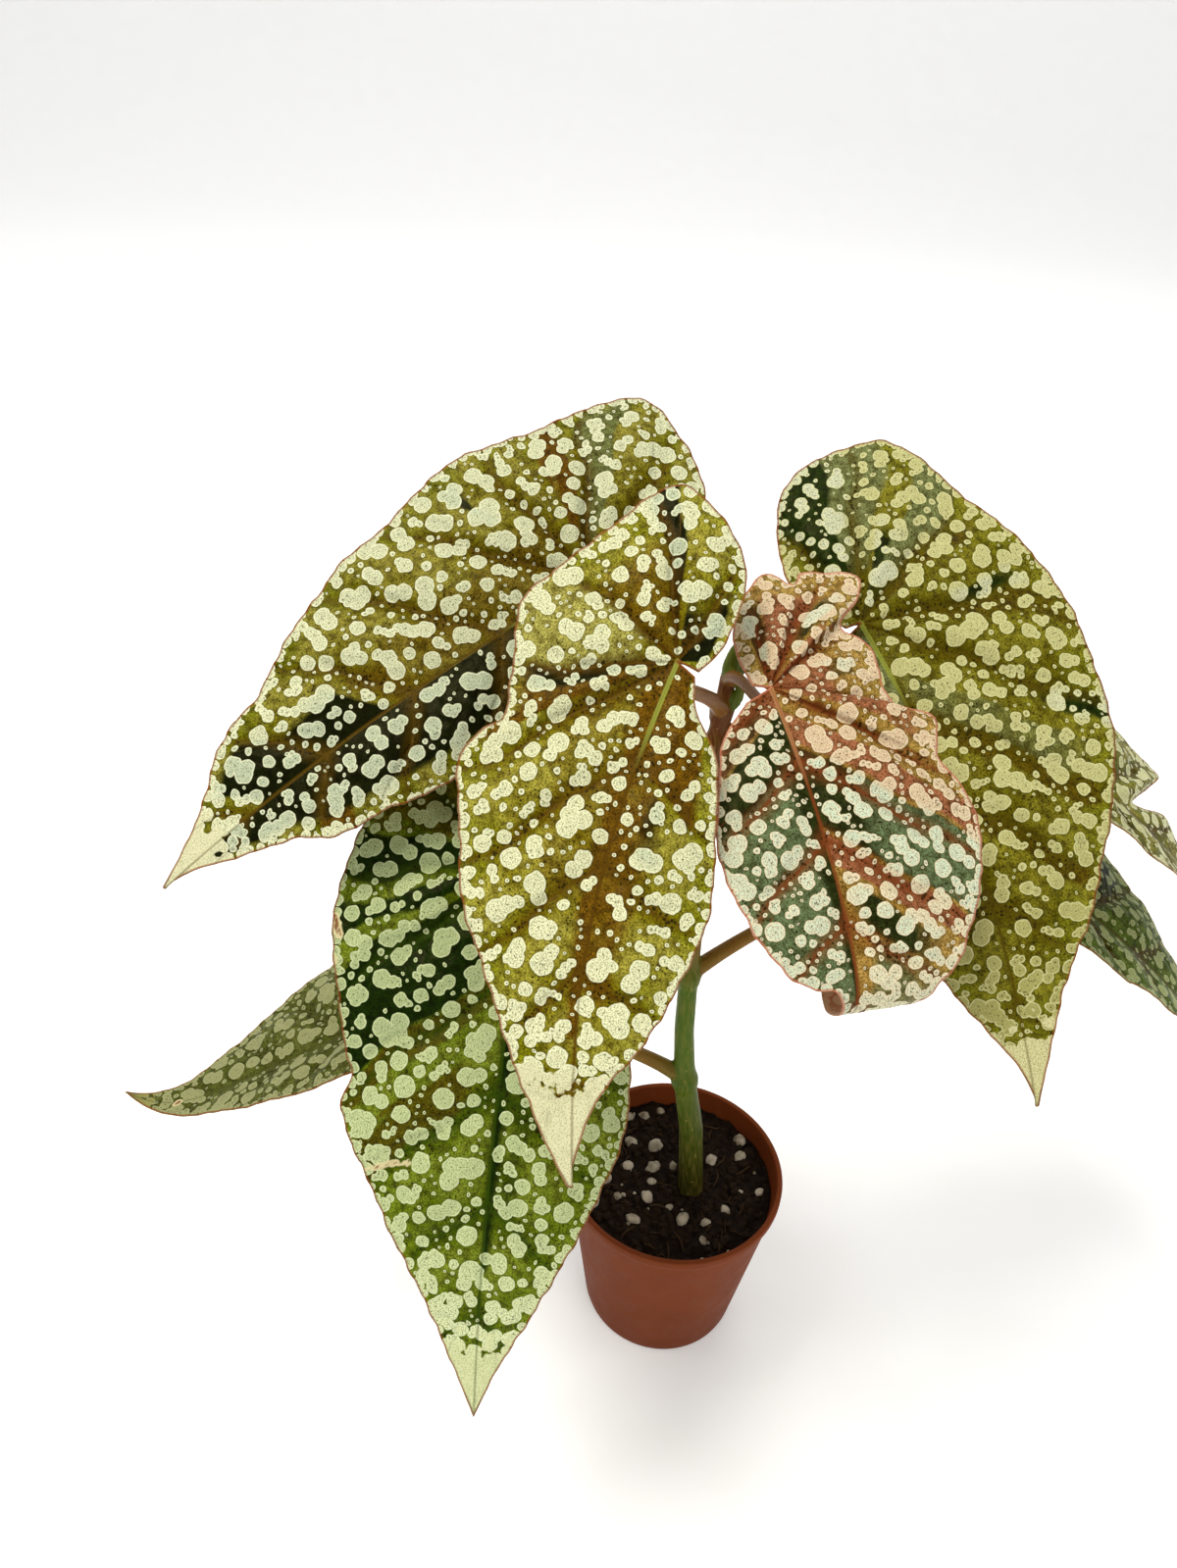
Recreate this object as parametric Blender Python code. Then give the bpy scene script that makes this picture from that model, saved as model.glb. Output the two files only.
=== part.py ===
"""Potted begonia: a cane begonia with eight spotted wing-shaped leaves in a small nursery pot.

Run with: blender --background --python part.py
Lengths are written in millimetres and angles in degrees; MM turns lengths into metres. Z is up, the pot
stands on z = 0 with its axis on x = y = 0, and -Y is the front.
"""
import math
import random

import bmesh
import bpy
import numpy as np

MM = 0.001
SEED = 11

# Pot: a moulded six-centimetre nursery pot.
POT_HEIGHT = 55.0
POT_RIM_RADIUS = 30.0
POT_BASE_RADIUS = 21.8
POT_WALL = 1.0
POT_FLOOR = 1.4
RIM_LIP_HEIGHT = 2.6
RIM_LIP_OVERHANG = 0.9
RIM_WIDTH = 1.5
EDGE_ROUND = 0.3
FOOT_ROUND = 1.2
FLOOR_FILLET = 1.5
POT_SIDES = 48
DRAIN_HOLES = 6
DRAIN_HOLE_RADIUS = 2.6
DRAIN_HOLE_CIRCLE = 13.0

# Soil and its white grains.
FIT_GAP = 0.3
SOIL_LEVEL = 49.0
SOIL_LUMP = 0.9
SOIL_SPOKES = 36
SOIL_RINGS = 8
GRAIN_EDGE_ROOM = 2.6
GRAIN_ROOM = 0.6
PERLITE_COUNT = 26
PERLITE_RADIUS = (1.2, 2.1)
PERLITE_RISE = 0.1

# Cane: heights of the leaf nodes, from the soil to the tip.
CANE_FOOT = 24.0
CANE_HOLE_SPARE = 0.35
CANE_ROUTE = ((5.0, -2.0, CANE_FOOT), (5.0, -2.0, 49.0), (2.4, -3.2, 76.0), (-1.2, -3.4, 95.0),
              (-2.9, -3.0, 112.0), (-3.5, -2.0, 130.0), (-4.0, -1.6, 156.0), (-4.3, -1.3, 172.0),
              (-4.4, -1.0, 185.0), (-4.2, -0.6, 195.0), (-3.8, -0.3, 203.0), (-3.3, 0.0, 211.0))
CANE_RADII = ((CANE_FOOT, 3.3), (48.0, 3.5), (80.0, 3.1), (110.0, 2.5), (150.0, 2.2), (190.0, 2.0),
              (211.0, 1.7))
CANE_TIP = 211.0
CANE_PLAIN_STATIONS = (36, 48, 60, 72, 84, 104, 112, 121, 141, 148, 164)
CANE_SIDES = 12
NODE_SWELL = 0.8
NODE_HALF_LENGTH = 2.4
STATION_ROOM = 1.0
LAST_SWELLING = 205.0
PETIOLE_SIDES = 8
PETIOLE_STATIONS = 9
PETIOLE_SEAT = 0.45
PETIOLE_FOOT = 2.0
PETIOLE_TAPER = ((0.0, 1.35), (0.12, 1.15), (0.3, 1.0), (0.9, 0.9), (1.0, 0.95))
PETIOLE_RISE = 0.9
STIPULE_FROM = 150.0
STIPULE_ROUTE = ((0.8, 0.0, 0.0), (2.4, 0.0, 2.5), (3.4, 1.0, 6.0), (3.4, 1.8, 9.5))
STIPULE_RADII = (1.1, 1.5, 1.1, 0.35)
END_BUD_ROUTE = ((0.0, 0.0, -3.0), (0.2, -0.3, 2.0), (0.8, -0.8, 6.0), (1.6, -1.2, 10.0))
END_BUD_RADII = (1.5, 1.9, 1.5, 0.4)

# Blades.
BLADE_THICKNESS = 0.8
MIDRIB_STATIONS = 15
STATION_CROWDING = 1.15
VEIN_SLANT = 0.84
FAN_STEPS_WIDE = 18
FAN_STEPS_NARROW = 5
BLADE_RINGS = (0.0, 0.3, 0.6, 0.84, 1.0)
PLEAT_HEIGHT = 1.3
PLEAT_START = 8.0
PLEAT_RAMP = 17.0
PLEAT_PEAK_TO_MARGIN = 0.9
FAN_PLEATS = 5
PLEATS_ALONG_RIB = 5
FOLD_START = 3.0
FOLD_CHANGE_REACH = 30.0
FOLD_CHANGE_LIMIT = 1.5
FOLD_STEPS = 12
FOLD_FADE = ((0.0, 1.0), (60.0, 0.8), (110.0, 0.5))

# Outlines, as (ahead of the stalk, out from the midrib): the wide half from the notch at the stalk round
# its back lobe to the tip, and the narrow half from the stalk to the tip.
EVEN_WIDE = ((0, -4), (-8, -8), (-16, -8), (-25, -5), (-31, 2), (-34, 12), (-32, 24), (-20, 31), (-6, 34),
             (10, 36), (28, 33), (44, 29), (60, 22), (75, 14), (88, 7), (102, 0))
EVEN_NARROW = ((2, 4), (8, 10), (15, 14), (25, 17), (38, 18), (50, 17), (64, 13), (78, 8), (90, 4), (102, 0))
FRONT_WIDE = ((1, -4), (-4, -7), (-11, -8.5), (-19, -8.5), (-26, -4), (-33, 7), (-22, 17), (-13, 24),
              (-5, 29), (4, 28), (15, 27), (18, 30), (24, 33), (34, 30.5), (47, 27), (61, 19), (72, 13),
              (83, 6), (90, 1))
FRONT_NARROW = ((2, 3.5), (8, 5), (15, 10), (25, 12), (40, 14), (51, 12), (63, 8), (75, 1.5), (90, -1))
UPPER_LEFT_WIDE = ((0, -4), (-6, -8), (-13, -9), (-20, -8), (-26, -4), (-31, 2), (-34.5, 13), (-33.5, 26),
                   (-20, 31), (-8, 32.5), (4, 36), (11, 35.5), (28, 32), (40, 30), (59, 22), (65, 18.5),
                   (76, 15.5), (86, 8), (93, 4), (101, 0.5))
UPPER_LEFT_NARROW = ((2, 4), (8, 10), (15, 14), (25, 16), (35, 17), (48, 17), (58, 14.5), (68, 13),
                     (75, 8.5), (87, 4), (94, 1), (101, -0.5))
LOWER_LEFT_WIDE = ((0, -4), (-8, -8), (-16, -8), (-24, -5), (-30, 1), (-33, 10), (-30, 20), (-22, 27),
                   (-12, 31), (4, 36), (14, 37), (26, 35), (38, 31.5), (44, 29.5), (50, 31), (60, 26),
                   (69, 21), (86, 11), (97, 5.5), (109, 0))
LOWER_LEFT_NARROW = ((2, 4), (8, 10), (16, 16), (26, 21), (38, 24), (50, 24), (63, 20), (75, 15), (88, 9),
                     (98, 4), (109, 0))
YOUNG_WIDE = ((-1, -3), (-8, -4), (-15, -2.5), (-20, 1), (-24, 6.5), (-20.5, 11), (-23, 14), (-20.5, 23.5),
              (-15, 22), (-10, 17), (-5, 21), (3, 20.5), (8, 22), (11, 28), (19, 26), (24, 28.5),
              (33, 29.5), (43, 26), (52, 21), (58, 15), (63, 9), (68, 4), (73, 0))
YOUNG_NARROW = ((2, 5), (8, 11), (16, 14), (26, 17), (34, 16.8), (44, 14), (51, 10), (54, 6), (55, 2.5),
                (60, 1.5), (66, 2), (73, 0))
RIGHT_WIDE = ((0, -3), (-6, -7.5), (-14, -10), (-24, -8.5), (-33, -4), (-37.5, 4), (-38, 16), (-34, 22),
              (-20, 29), (-5, 36), (6, 39), (20, 39), (36, 37), (49, 31), (64, 22), (77, 12), (87, 6),
              (97, 0.5))
RIGHT_NARROW = ((2, 4), (8, 8), (16, 13), (27, 16), (38, 17), (50, 15), (60, 13), (72, 8.5), (80, 5),
                (89, 1), (97, -0.5))

NOTCHED_WIDE = EVEN_WIDE[:11] + ((40, 29), (52, 27), (66, 27), (63, 19), (58, 11), (55, 6), (60, 8),
                                 (69, 13), (75, 9), (88, 5), (102, 0))

LEFT_OF_RIB = 1
RIGHT_OF_RIB = -1
STIFF_BEND = ((-40, -14), (0, -8), (50, 0), (100, 14))
LOOSE_BEND = ((-40, -12), (0, -5), (50, 0), (90, 16), (102, 30))
HOOKED_BEND = ((-40, -8), (0, -2), (50, 2), (76, -2), (84, -20), (97, -75))
CURLED_BEND = ((-30, -14), (0, -8), (30, 0), (50, 8), (56, 30), (62, 95), (70, 150))


class Leaf:
    """One leaf: where it joins its stalk, how the blade lies in space, and its outline."""

    def __init__(self, name, node_height, joint, heading, dip, roll, wide_side, wide, narrow,
                 bend=STIFF_BEND, left_fold=(0, 0), right_fold=(0, 0), bow=1.0, stalk=1.5, size=1.0,
                 colour=(0.16, 0.20, 0.05)):
        self.name = name
        self.node_height = node_height
        self.joint = np.array(joint, float)
        self.wide_side = wide_side
        self.wide = [(a * size, b * size) for a, b in wide]
        self.narrow = [(a * size, b * size) for a, b in narrow]
        self.length = self.wide[-1][0]
        self.left_fold = left_fold
        self.right_fold = right_fold
        self.bow = bow
        self.stalk = stalk
        self.colour = colour
        self.set_axes(math.radians(heading), math.radians(dip), math.radians(roll))
        self.set_bend(bend)

    def set_axes(self, heading, dip, roll):
        """Midrib, left and upper directions of the blade where it joins the stalk."""
        ahead = np.array([math.sin(heading), math.cos(heading), 0.0])
        left = np.array([-math.cos(heading), math.sin(heading), 0.0])
        self.ahead = ahead * math.cos(dip) - np.array([0, 0, math.sin(dip)])
        upper = np.cross(self.ahead, left)
        self.left = left * math.cos(roll) - upper * math.sin(roll)
        self.upper = upper * math.cos(roll) + left * math.sin(roll)

    def set_bend(self, bend):
        """Run of the bent midrib, level and down, for distances along it."""
        self.run = np.linspace(-60.0, 130.0, 381)
        self.slope = np.radians(np.interp(self.run, [x for x, _ in bend], [a for _, a in bend]))
        step = self.run[1] - self.run[0]
        level = np.cumsum(np.cos(self.slope)) * step
        down = np.cumsum(np.sin(self.slope)) * step
        self.level = level - np.interp(0.0, self.run, level)
        self.down = down - np.interp(0.0, self.run, down)

    def rib_offset(self, x):
        """Sideways bow of the midrib towards the wide half at a distance along it."""
        return self.wide_side * self.bow * math.sin(math.pi * min(max(x / self.length, 0.0), 1.0))

    def point(self, x, y):
        """Place in space of a spot x along the midrib and y to its left on the flattened blade."""
        slope = np.interp(x, self.run, self.slope)
        normal = math.sin(slope) * self.ahead + math.cos(slope) * self.upper
        base = (self.joint + np.interp(x, self.run, self.level) * self.ahead
                - np.interp(x, self.run, self.down) * self.upper)
        first, last = self.left_fold if y > 0 else self.right_fold
        fade = np.interp(x, [spot for spot, _ in FOLD_FADE], [share for _, share in FOLD_FADE])
        across = lift = 0.0
        for i in range(FOLD_STEPS):
            out = abs(y) * (i + 0.5) / FOLD_STEPS
            fold = first + (last - first) * min(out / FOLD_CHANGE_REACH, FOLD_CHANGE_LIMIT)
            tilt = math.radians(fold * fade * min(out / FOLD_START, 1))
            across += math.cos(tilt) * abs(y) / FOLD_STEPS
            lift += math.sin(tilt) * abs(y) / FOLD_STEPS
        return base + self.left * math.copysign(across, y) + normal * lift

    def normal(self, x, y):
        """Upward normal of the blade at a spot."""
        step = 0.2
        along = self.point(x + step, y) - self.point(x - step, y)
        over = self.point(x, y + step) - self.point(x, y - step)
        normal = np.cross(along, over)
        return normal / np.linalg.norm(normal)


LEAVES = (
    Leaf("leaf_upper_left", 185, (-32.7, 2.9, 229), 240, 28, 34, RIGHT_OF_RIB, UPPER_LEFT_WIDE,
         UPPER_LEFT_NARROW, bend=((-40, -12), (0, -6), (50, 0), (100, 12)), left_fold=(-6, -10),
         right_fold=(4, 0), colour=(0.17, 0.19, 0.04)),
    Leaf("leaf_front", 203, (-16.5, -32.3, 230.9), 193, 50, 0, RIGHT_OF_RIB, FRONT_WIDE, FRONT_NARROW,
         bend=((-35, -14), (0, -8), (50, 0), (95, 16)), left_fold=(-16, -20), right_fold=(6, 2), bow=5.0,
         colour=(0.22, 0.17, 0.04)),
    Leaf("leaf_lower_left", 156, (-41, -29, 182.8), 184, 52, 0, RIGHT_OF_RIB, LOWER_LEFT_WIDE,
         LOWER_LEFT_NARROW, left_fold=(-8, -14), right_fold=(4, -4), colour=(0.10, 0.21, 0.03)),
    Leaf("leaf_young", 210, (0.9, -25.6, 223.1), 160, 38, -6, LEFT_OF_RIB, YOUNG_WIDE, YOUNG_NARROW,
         bend=CURLED_BEND, left_fold=(4, -4), right_fold=(-6, -10), bow=1.5, stalk=1.2,
         colour=(0.42, 0.17, 0.09)),
    Leaf("leaf_right", 195, (20.8, -0.4, 224.4), 151, 42, -24, LEFT_OF_RIB, RIGHT_WIDE, RIGHT_NARROW,
         left_fold=(4, -4), right_fold=(-6, -12), bow=4.0, colour=(0.19, 0.20, 0.05)),
    Leaf("leaf_far_left", 95, (-49.7, -4.3, 128.4), 257, 24, -7.5, RIGHT_OF_RIB, EVEN_WIDE, EVEN_NARROW,
         bend=HOOKED_BEND, left_fold=(8.5, 8.5), right_fold=(8.5, 8.5), stalk=1.7, size=0.95,
         colour=(0.14, 0.19, 0.09)),
    Leaf("leaf_low_right", 130, (53, 12, 172), 104, 33, -1, LEFT_OF_RIB, EVEN_WIDE, EVEN_NARROW,
         bend=LOOSE_BEND, left_fold=(7, 7), right_fold=(7, 7), stalk=1.6, size=0.95,
         colour=(0.10, 0.20, 0.06)),
    Leaf("leaf_mid_right", 172, (49, 11, 206), 97, 36, -4, LEFT_OF_RIB, NOTCHED_WIDE, EVEN_NARROW,
         bend=LOOSE_BEND, left_fold=(9, 9), right_fold=(9, 9), size=0.93, colour=(0.12, 0.19, 0.07)),
)


def clear_scene():
    """Remove the objects that the scene starts with."""
    for thing in list(bpy.data.objects):
        bpy.data.objects.remove(thing, do_unlink=True)


def material(name, colour, roughness, metallic=0.0):
    """Plain Principled material in one colour."""
    finish = bpy.data.materials.new(name)
    finish.use_nodes = True
    shader = finish.node_tree.nodes["Principled BSDF"]
    shader.inputs["Base Color"].default_value = (*colour, 1.0)
    shader.inputs["Roughness"].default_value = roughness
    shader.inputs["Metallic"].default_value = metallic
    return finish


def add_object(name, points, faces, finish=None, smooth=True):
    """Mesh object from points in millimetres, with its faces turned outwards."""
    mesh = bpy.data.meshes.new(name)
    mesh.from_pydata([tuple(np.asarray(p) * MM) for p in points], [], faces)
    work = bmesh.new()
    work.from_mesh(mesh)
    bmesh.ops.recalc_face_normals(work, faces=work.faces)
    work.to_mesh(mesh)
    work.free()
    if smooth:
        mesh.shade_smooth()
        mesh.set_sharp_from_angle(angle=math.radians(40))
    thing = bpy.data.objects.new(name, mesh)
    bpy.context.scene.collection.objects.link(thing)
    if finish:
        mesh.materials.append(finish)
    return thing


def smooth_curve(points, per_span):
    """Points along a Catmull-Rom curve through the given ones."""
    pts = [np.array(p, float) for p in points]
    padded = [2 * pts[0] - pts[1]] + pts + [2 * pts[-1] - pts[-2]]
    curve = []
    for a, b, c, d in zip(padded, padded[1:], padded[2:], padded[3:]):
        for i in range(per_span):
            t = i / per_span
            curve.append(0.5 * (2 * b + (c - a) * t + (2 * a - 5 * b + 4 * c - d) * t ** 2
                                + (3 * b - a - 3 * c + d) * t ** 3))
    curve.append(pts[-1])
    return np.array(curve)


def turned_body(profile, sides):
    """Points and faces of a turned body whose (radius, height) profile starts and ends on the axis."""
    points = []
    rows = []
    for radius, height in profile:
        if radius < 1e-6:
            rows.append([len(points)] * sides)
            points.append((0.0, 0.0, height))
            continue
        rows.append(list(range(len(points), len(points) + sides)))
        for i in range(sides):
            angle = 2 * math.pi * i / sides
            points.append((radius * math.cos(angle), radius * math.sin(angle), height))
    faces = []
    for low, high in zip(rows, rows[1:]):
        for i in range(sides):
            j = (i + 1) % sides
            corners = list(dict.fromkeys((low[i], low[j], high[j], high[i])))
            if len(corners) > 2:
                faces.append(corners)
    return points, faces


def wall_radius(height):
    """Outer radius of the pot's tapered wall at a height."""
    under_lip = POT_RIM_RADIUS - RIM_LIP_OVERHANG
    return POT_BASE_RADIUS + (under_lip - POT_BASE_RADIUS) * height / (POT_HEIGHT - RIM_LIP_HEIGHT)


def build_pot():
    """Tapered pot with a thin lip and a ring of drain holes through its flat floor."""
    lip_low = POT_HEIGHT - RIM_LIP_HEIGHT
    rim_inside = POT_RIM_RADIUS - RIM_WIDTH
    half_height = lip_low / 2
    profile = [(0.0, 0.0), (POT_BASE_RADIUS - FOOT_ROUND, 0.0), (POT_BASE_RADIUS - EDGE_ROUND, EDGE_ROUND),
               (wall_radius(FOOT_ROUND), FOOT_ROUND), (wall_radius(half_height), half_height),
               (wall_radius(lip_low - EDGE_ROUND), lip_low - EDGE_ROUND),
               (POT_RIM_RADIUS - EDGE_ROUND, lip_low), (POT_RIM_RADIUS, lip_low + EDGE_ROUND),
               (POT_RIM_RADIUS, POT_HEIGHT - EDGE_ROUND), (POT_RIM_RADIUS - EDGE_ROUND, POT_HEIGHT),
               (rim_inside, POT_HEIGHT), (rim_inside - EDGE_ROUND, POT_HEIGHT - EDGE_ROUND),
               (wall_radius(lip_low) - POT_WALL, lip_low - POT_WALL),
               (wall_radius(POT_FLOOR + FLOOR_FILLET) - POT_WALL, POT_FLOOR + FLOOR_FILLET),
               (wall_radius(POT_FLOOR) - POT_WALL - FLOOR_FILLET, POT_FLOOR), (0.0, POT_FLOOR)]
    points, faces = turned_body(profile, POT_SIDES)
    pot = add_object("pot", points, faces, material("terracotta plastic", (0.235, 0.068, 0.036), 0.5))
    for i in range(DRAIN_HOLES):
        angle = 2 * math.pi * (i + 0.5) / DRAIN_HOLES
        across = DRAIN_HOLE_CIRCLE * MM
        bpy.ops.mesh.primitive_cylinder_add(
            vertices=16, radius=DRAIN_HOLE_RADIUS * MM, depth=4 * POT_FLOOR * MM,
            location=(across * math.cos(angle), across * math.sin(angle), 0))
        drill = bpy.context.object
        drill.name = f"drain_cutter_{i}"
        drill.hide_render = True
        drill.display_type = "WIRE"
        cut = pot.modifiers.new(f"drain {i}", "BOOLEAN")
        cut.operation = "DIFFERENCE"
        cut.solver = "MANIFOLD"
        cut.object = drill
    return pot


def soil_lump(x, y):
    """Height of the crumbly soil surface above its level."""
    rough = (math.sin(0.43 * x + 1.7) * math.sin(0.39 * y + 0.4) + 0.6 * math.sin(0.93 * x - 0.71 * y)
             + 0.5 * math.sin(1.9 * x + 0.8 * y + 2.0))
    return SOIL_LUMP * 0.5 * rough


def soil_body(finish):
    """Soil as a turned body with a lumpy top, up to the pot's wall less the fit gap."""
    floor = POT_FLOOR + FIT_GAP
    inset = POT_WALL + FIT_GAP
    low = floor + FLOOR_FILLET + FIT_GAP
    top = wall_radius(SOIL_LEVEL) - inset
    profile = [(0.0, floor), (wall_radius(floor) - inset - FLOOR_FILLET, floor),
               (wall_radius(low) - inset, low), (top, SOIL_LEVEL)]
    for i in range(SOIL_RINGS - 1, -1, -1):
        profile.append((top * i / SOIL_RINGS, SOIL_LEVEL))
    points, faces = turned_body(profile, SOIL_SPOKES)
    lumped = []
    for x, y, z in points:
        on_top = z > SOIL_LEVEL - 0.01
        lumped.append((x, y, z + soil_lump(x, y) if on_top else z))
    return add_object("soil", lumped, faces, finish)


def perlite_grains(draw, centre, hole_radius):
    """Places and radii of the white grains, spaced out over the soil and clear of the cane."""
    reach = wall_radius(SOIL_LEVEL) - POT_WALL - FIT_GAP - GRAIN_EDGE_ROOM
    grains = []
    while len(grains) < PERLITE_COUNT:
        radius = draw.uniform(*PERLITE_RADIUS)
        angle = draw.uniform(0, 2 * math.pi)
        distance = reach * math.sqrt(draw.random())
        x, y = distance * math.cos(angle), distance * math.sin(angle)
        if math.hypot(x - centre[0], y - centre[1]) < hole_radius + radius + 2 * GRAIN_ROOM:
            continue
        if all(math.hypot(x - a, y - b) > radius + c + GRAIN_ROOM for a, b, c in grains):
            grains.append((x, y, radius))
    return grains


def add_perlite(draw, x, y, radius):
    """One angular white grain, sunk partly into the soil."""
    grain = bmesh.new()
    bmesh.ops.create_icosphere(grain, subdivisions=1, radius=radius)
    stretch = (draw.uniform(0.8, 1.2), draw.uniform(0.8, 1.2), draw.uniform(0.7, 0.9))
    turn = draw.uniform(0, math.pi)
    points = []
    for vert in grain.verts:
        push = draw.uniform(0.86, 1.1)
        a, b, c = (vert.co[k] * stretch[k] * push for k in range(3))
        across = a * math.cos(turn) - b * math.sin(turn)
        along = a * math.sin(turn) + b * math.cos(turn)
        points.append((x + across, y + along, SOIL_LEVEL + soil_lump(x, y) + radius * PERLITE_RISE + c))
    faces = [[v.index for v in face.verts] for face in grain.faces]
    grain.free()
    return add_object("perlite_grain", points, faces)


def join_into(body, pieces):
    """Fuse the pieces into the body with one Boolean union, applied, and remove them."""
    group = bpy.data.collections.new(body.name + "_pieces")
    bpy.context.scene.collection.children.link(group)
    for piece in pieces:
        group.objects.link(piece)
        bpy.context.scene.collection.objects.unlink(piece)
    union = body.modifiers.new("fuse", "BOOLEAN")
    union.operation = "UNION"
    union.solver = "EXACT"
    union.operand_type = "COLLECTION"
    union.collection = group
    bake_modifiers(body)
    for piece in pieces:
        bpy.data.objects.remove(piece, do_unlink=True)
    bpy.data.collections.remove(group)


def bake_modifiers(body):
    """Turn the body's modifiers into its mesh."""
    graph = bpy.context.evaluated_depsgraph_get()
    made = bpy.data.meshes.new_from_object(body.evaluated_get(graph))
    body.modifiers.clear()
    body.data = made


def build_soil():
    """Soil with its perlite fused in and a plain hole where the cane stands."""
    draw = random.Random(SEED)
    soil = soil_body(material("potting mix", (0.028, 0.016, 0.011), 0.95))
    foot = CANE_ROUTE[0]
    hole_radius = cane_radius(SOIL_LEVEL) + CANE_HOLE_SPARE
    grains = [add_perlite(draw, *grain) for grain in perlite_grains(draw, foot, hole_radius)]
    join_into(soil, grains)
    depth = SOIL_LEVEL + 6.0 - CANE_FOOT
    bpy.ops.mesh.primitive_cylinder_add(
        vertices=CANE_SIDES * 2, radius=hole_radius * MM, depth=(depth + FIT_GAP) * MM,
        location=(foot[0] * MM, foot[1] * MM, (CANE_FOOT - FIT_GAP + (depth + FIT_GAP) / 2) * MM))
    cutter = bpy.context.object
    cutter.name = "cane_hole_cutter"
    cutter.hide_render = True
    cutter.display_type = "WIRE"
    cut = soil.modifiers.new("cane hole", "BOOLEAN")
    cut.operation = "DIFFERENCE"
    cut.solver = "EXACT"
    cut.object = cutter
    return soil


def tube(name, route, radii, sides, flatness=1.0, finish=None):
    """Closed tube along a route, each station a ring of the given radius, flattened if asked."""
    route = np.asarray(route, float)
    tangents = np.gradient(route, axis=0)
    tangents /= np.linalg.norm(tangents, axis=1)[:, None]
    side = np.cross(tangents[0], (0.13, 1.0, 0.21))
    side /= np.linalg.norm(side)
    points = []
    for spot, tangent, radius in zip(route, tangents, radii):
        side = side - tangent * side.dot(tangent)
        side /= np.linalg.norm(side)
        other = np.cross(tangent, side)
        for i in range(sides):
            angle = 2 * math.pi * i / sides
            points.append(spot + radius * (side * math.cos(angle) + other * flatness * math.sin(angle)))
    faces = [list(range(sides)), list(range(len(points) - sides, len(points)))]
    for k in range(len(route) - 1):
        for i in range(sides):
            j = (i + 1) % sides
            faces.append([k * sides + i, k * sides + j, (k + 1) * sides + j, (k + 1) * sides + i])
    return add_object(name, points, faces, finish)


def cane_radius(height):
    """Radius of the cane at a height, swollen at its nodes."""
    plain = np.interp(height, [h for h, _ in CANE_RADII], [r for _, r in CANE_RADII])
    swell = sum(math.exp(-((height - leaf.node_height) / NODE_HALF_LENGTH) ** 2) for leaf in LEAVES)
    return plain + NODE_SWELL * min(swell, 1.0) * (height < LAST_SWELLING)


def cane_centre(height):
    """Centre of the cane at a height."""
    heights = [p[2] for p in CANE_ROUTE]
    return np.array([np.interp(height, heights, [p[0] for p in CANE_ROUTE]),
                     np.interp(height, heights, [p[1] for p in CANE_ROUTE]), height])


def cane_stations():
    """Heights at which the cane has a ring: both ends, between the nodes, and round each node."""
    heights = {CANE_FOOT, CANE_TIP, *CANE_PLAIN_STATIONS}
    for leaf in LEAVES:
        for step in (-1.5, -0.6, 0.0, 0.6, 1.5):
            heights.add(min(leaf.node_height + step * NODE_HALF_LENGTH, CANE_TIP))
    kept = []
    for height in sorted(heights):
        if not kept or height - kept[-1] > STATION_ROOM:
            kept.append(height)
    return kept


def petiole_route(leaf):
    """Curve of a leaf stalk from its node on the cane to just under the blade."""
    start = cane_centre(leaf.node_height)
    normal = leaf.normal(PETIOLE_FOOT, 0.0)
    end = leaf.point(PETIOLE_FOOT, 0.0) - normal * (BLADE_THICKNESS / 2 + PETIOLE_SEAT)
    span = np.linalg.norm(end - start)
    outward = end - start
    outward[2] = 0
    outward = outward / np.linalg.norm(outward) + np.array([0, 0, PETIOLE_RISE])
    first = start + outward / np.linalg.norm(outward) * span * 0.4
    last = end - normal * span * 0.3
    route = []
    for i in range(PETIOLE_STATIONS):
        t = i / (PETIOLE_STATIONS - 1)
        near_start = (1 - t) ** 3 * start + 3 * t * (1 - t) ** 2 * first
        route.append(near_start + 3 * t * t * (1 - t) * last + t ** 3 * end)
    return np.array(route)


def add_petiole(leaf):
    """Stalk of one leaf, thicker at the node and at the blade."""
    route = petiole_route(leaf)
    spread = np.linspace(0, 1, PETIOLE_STATIONS)
    radii = leaf.stalk * np.interp(spread, [t for t, _ in PETIOLE_TAPER], [r for _, r in PETIOLE_TAPER])
    return tube("petiole_" + leaf.name, route, radii, PETIOLE_SIDES)


def add_stipule(leaf):
    """Narrow pointed stipule standing beside a stalk's node."""
    start = cane_centre(leaf.node_height)
    outward = leaf.joint - start
    outward[2] = 0
    outward /= np.linalg.norm(outward)
    aside = np.array([-outward[1], outward[0], 0])
    route = [start + aside * a + outward * b + np.array([0, 0, c]) for a, b, c in STIPULE_ROUTE]
    return tube("stipule", route, STIPULE_RADII, 6, flatness=0.5)


def build_cane():
    """Cane with its stalks, stipules and end bud as one grown piece."""
    heights = cane_stations()
    cane = tube("cane", [cane_centre(h) for h in heights], [cane_radius(h) for h in heights], CANE_SIDES,
                finish=material("begonia stem", (0.16, 0.20, 0.05), 0.4))
    pieces = [add_petiole(leaf) for leaf in LEAVES]
    pieces += [add_stipule(leaf) for leaf in LEAVES if leaf.node_height > STIPULE_FROM]
    bud = cane_centre(CANE_TIP) + np.array(END_BUD_ROUTE)
    pieces.append(tube("end_bud", bud, END_BUD_RADII, 8, flatness=0.8))
    join_into(cane, pieces)
    return cane


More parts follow.
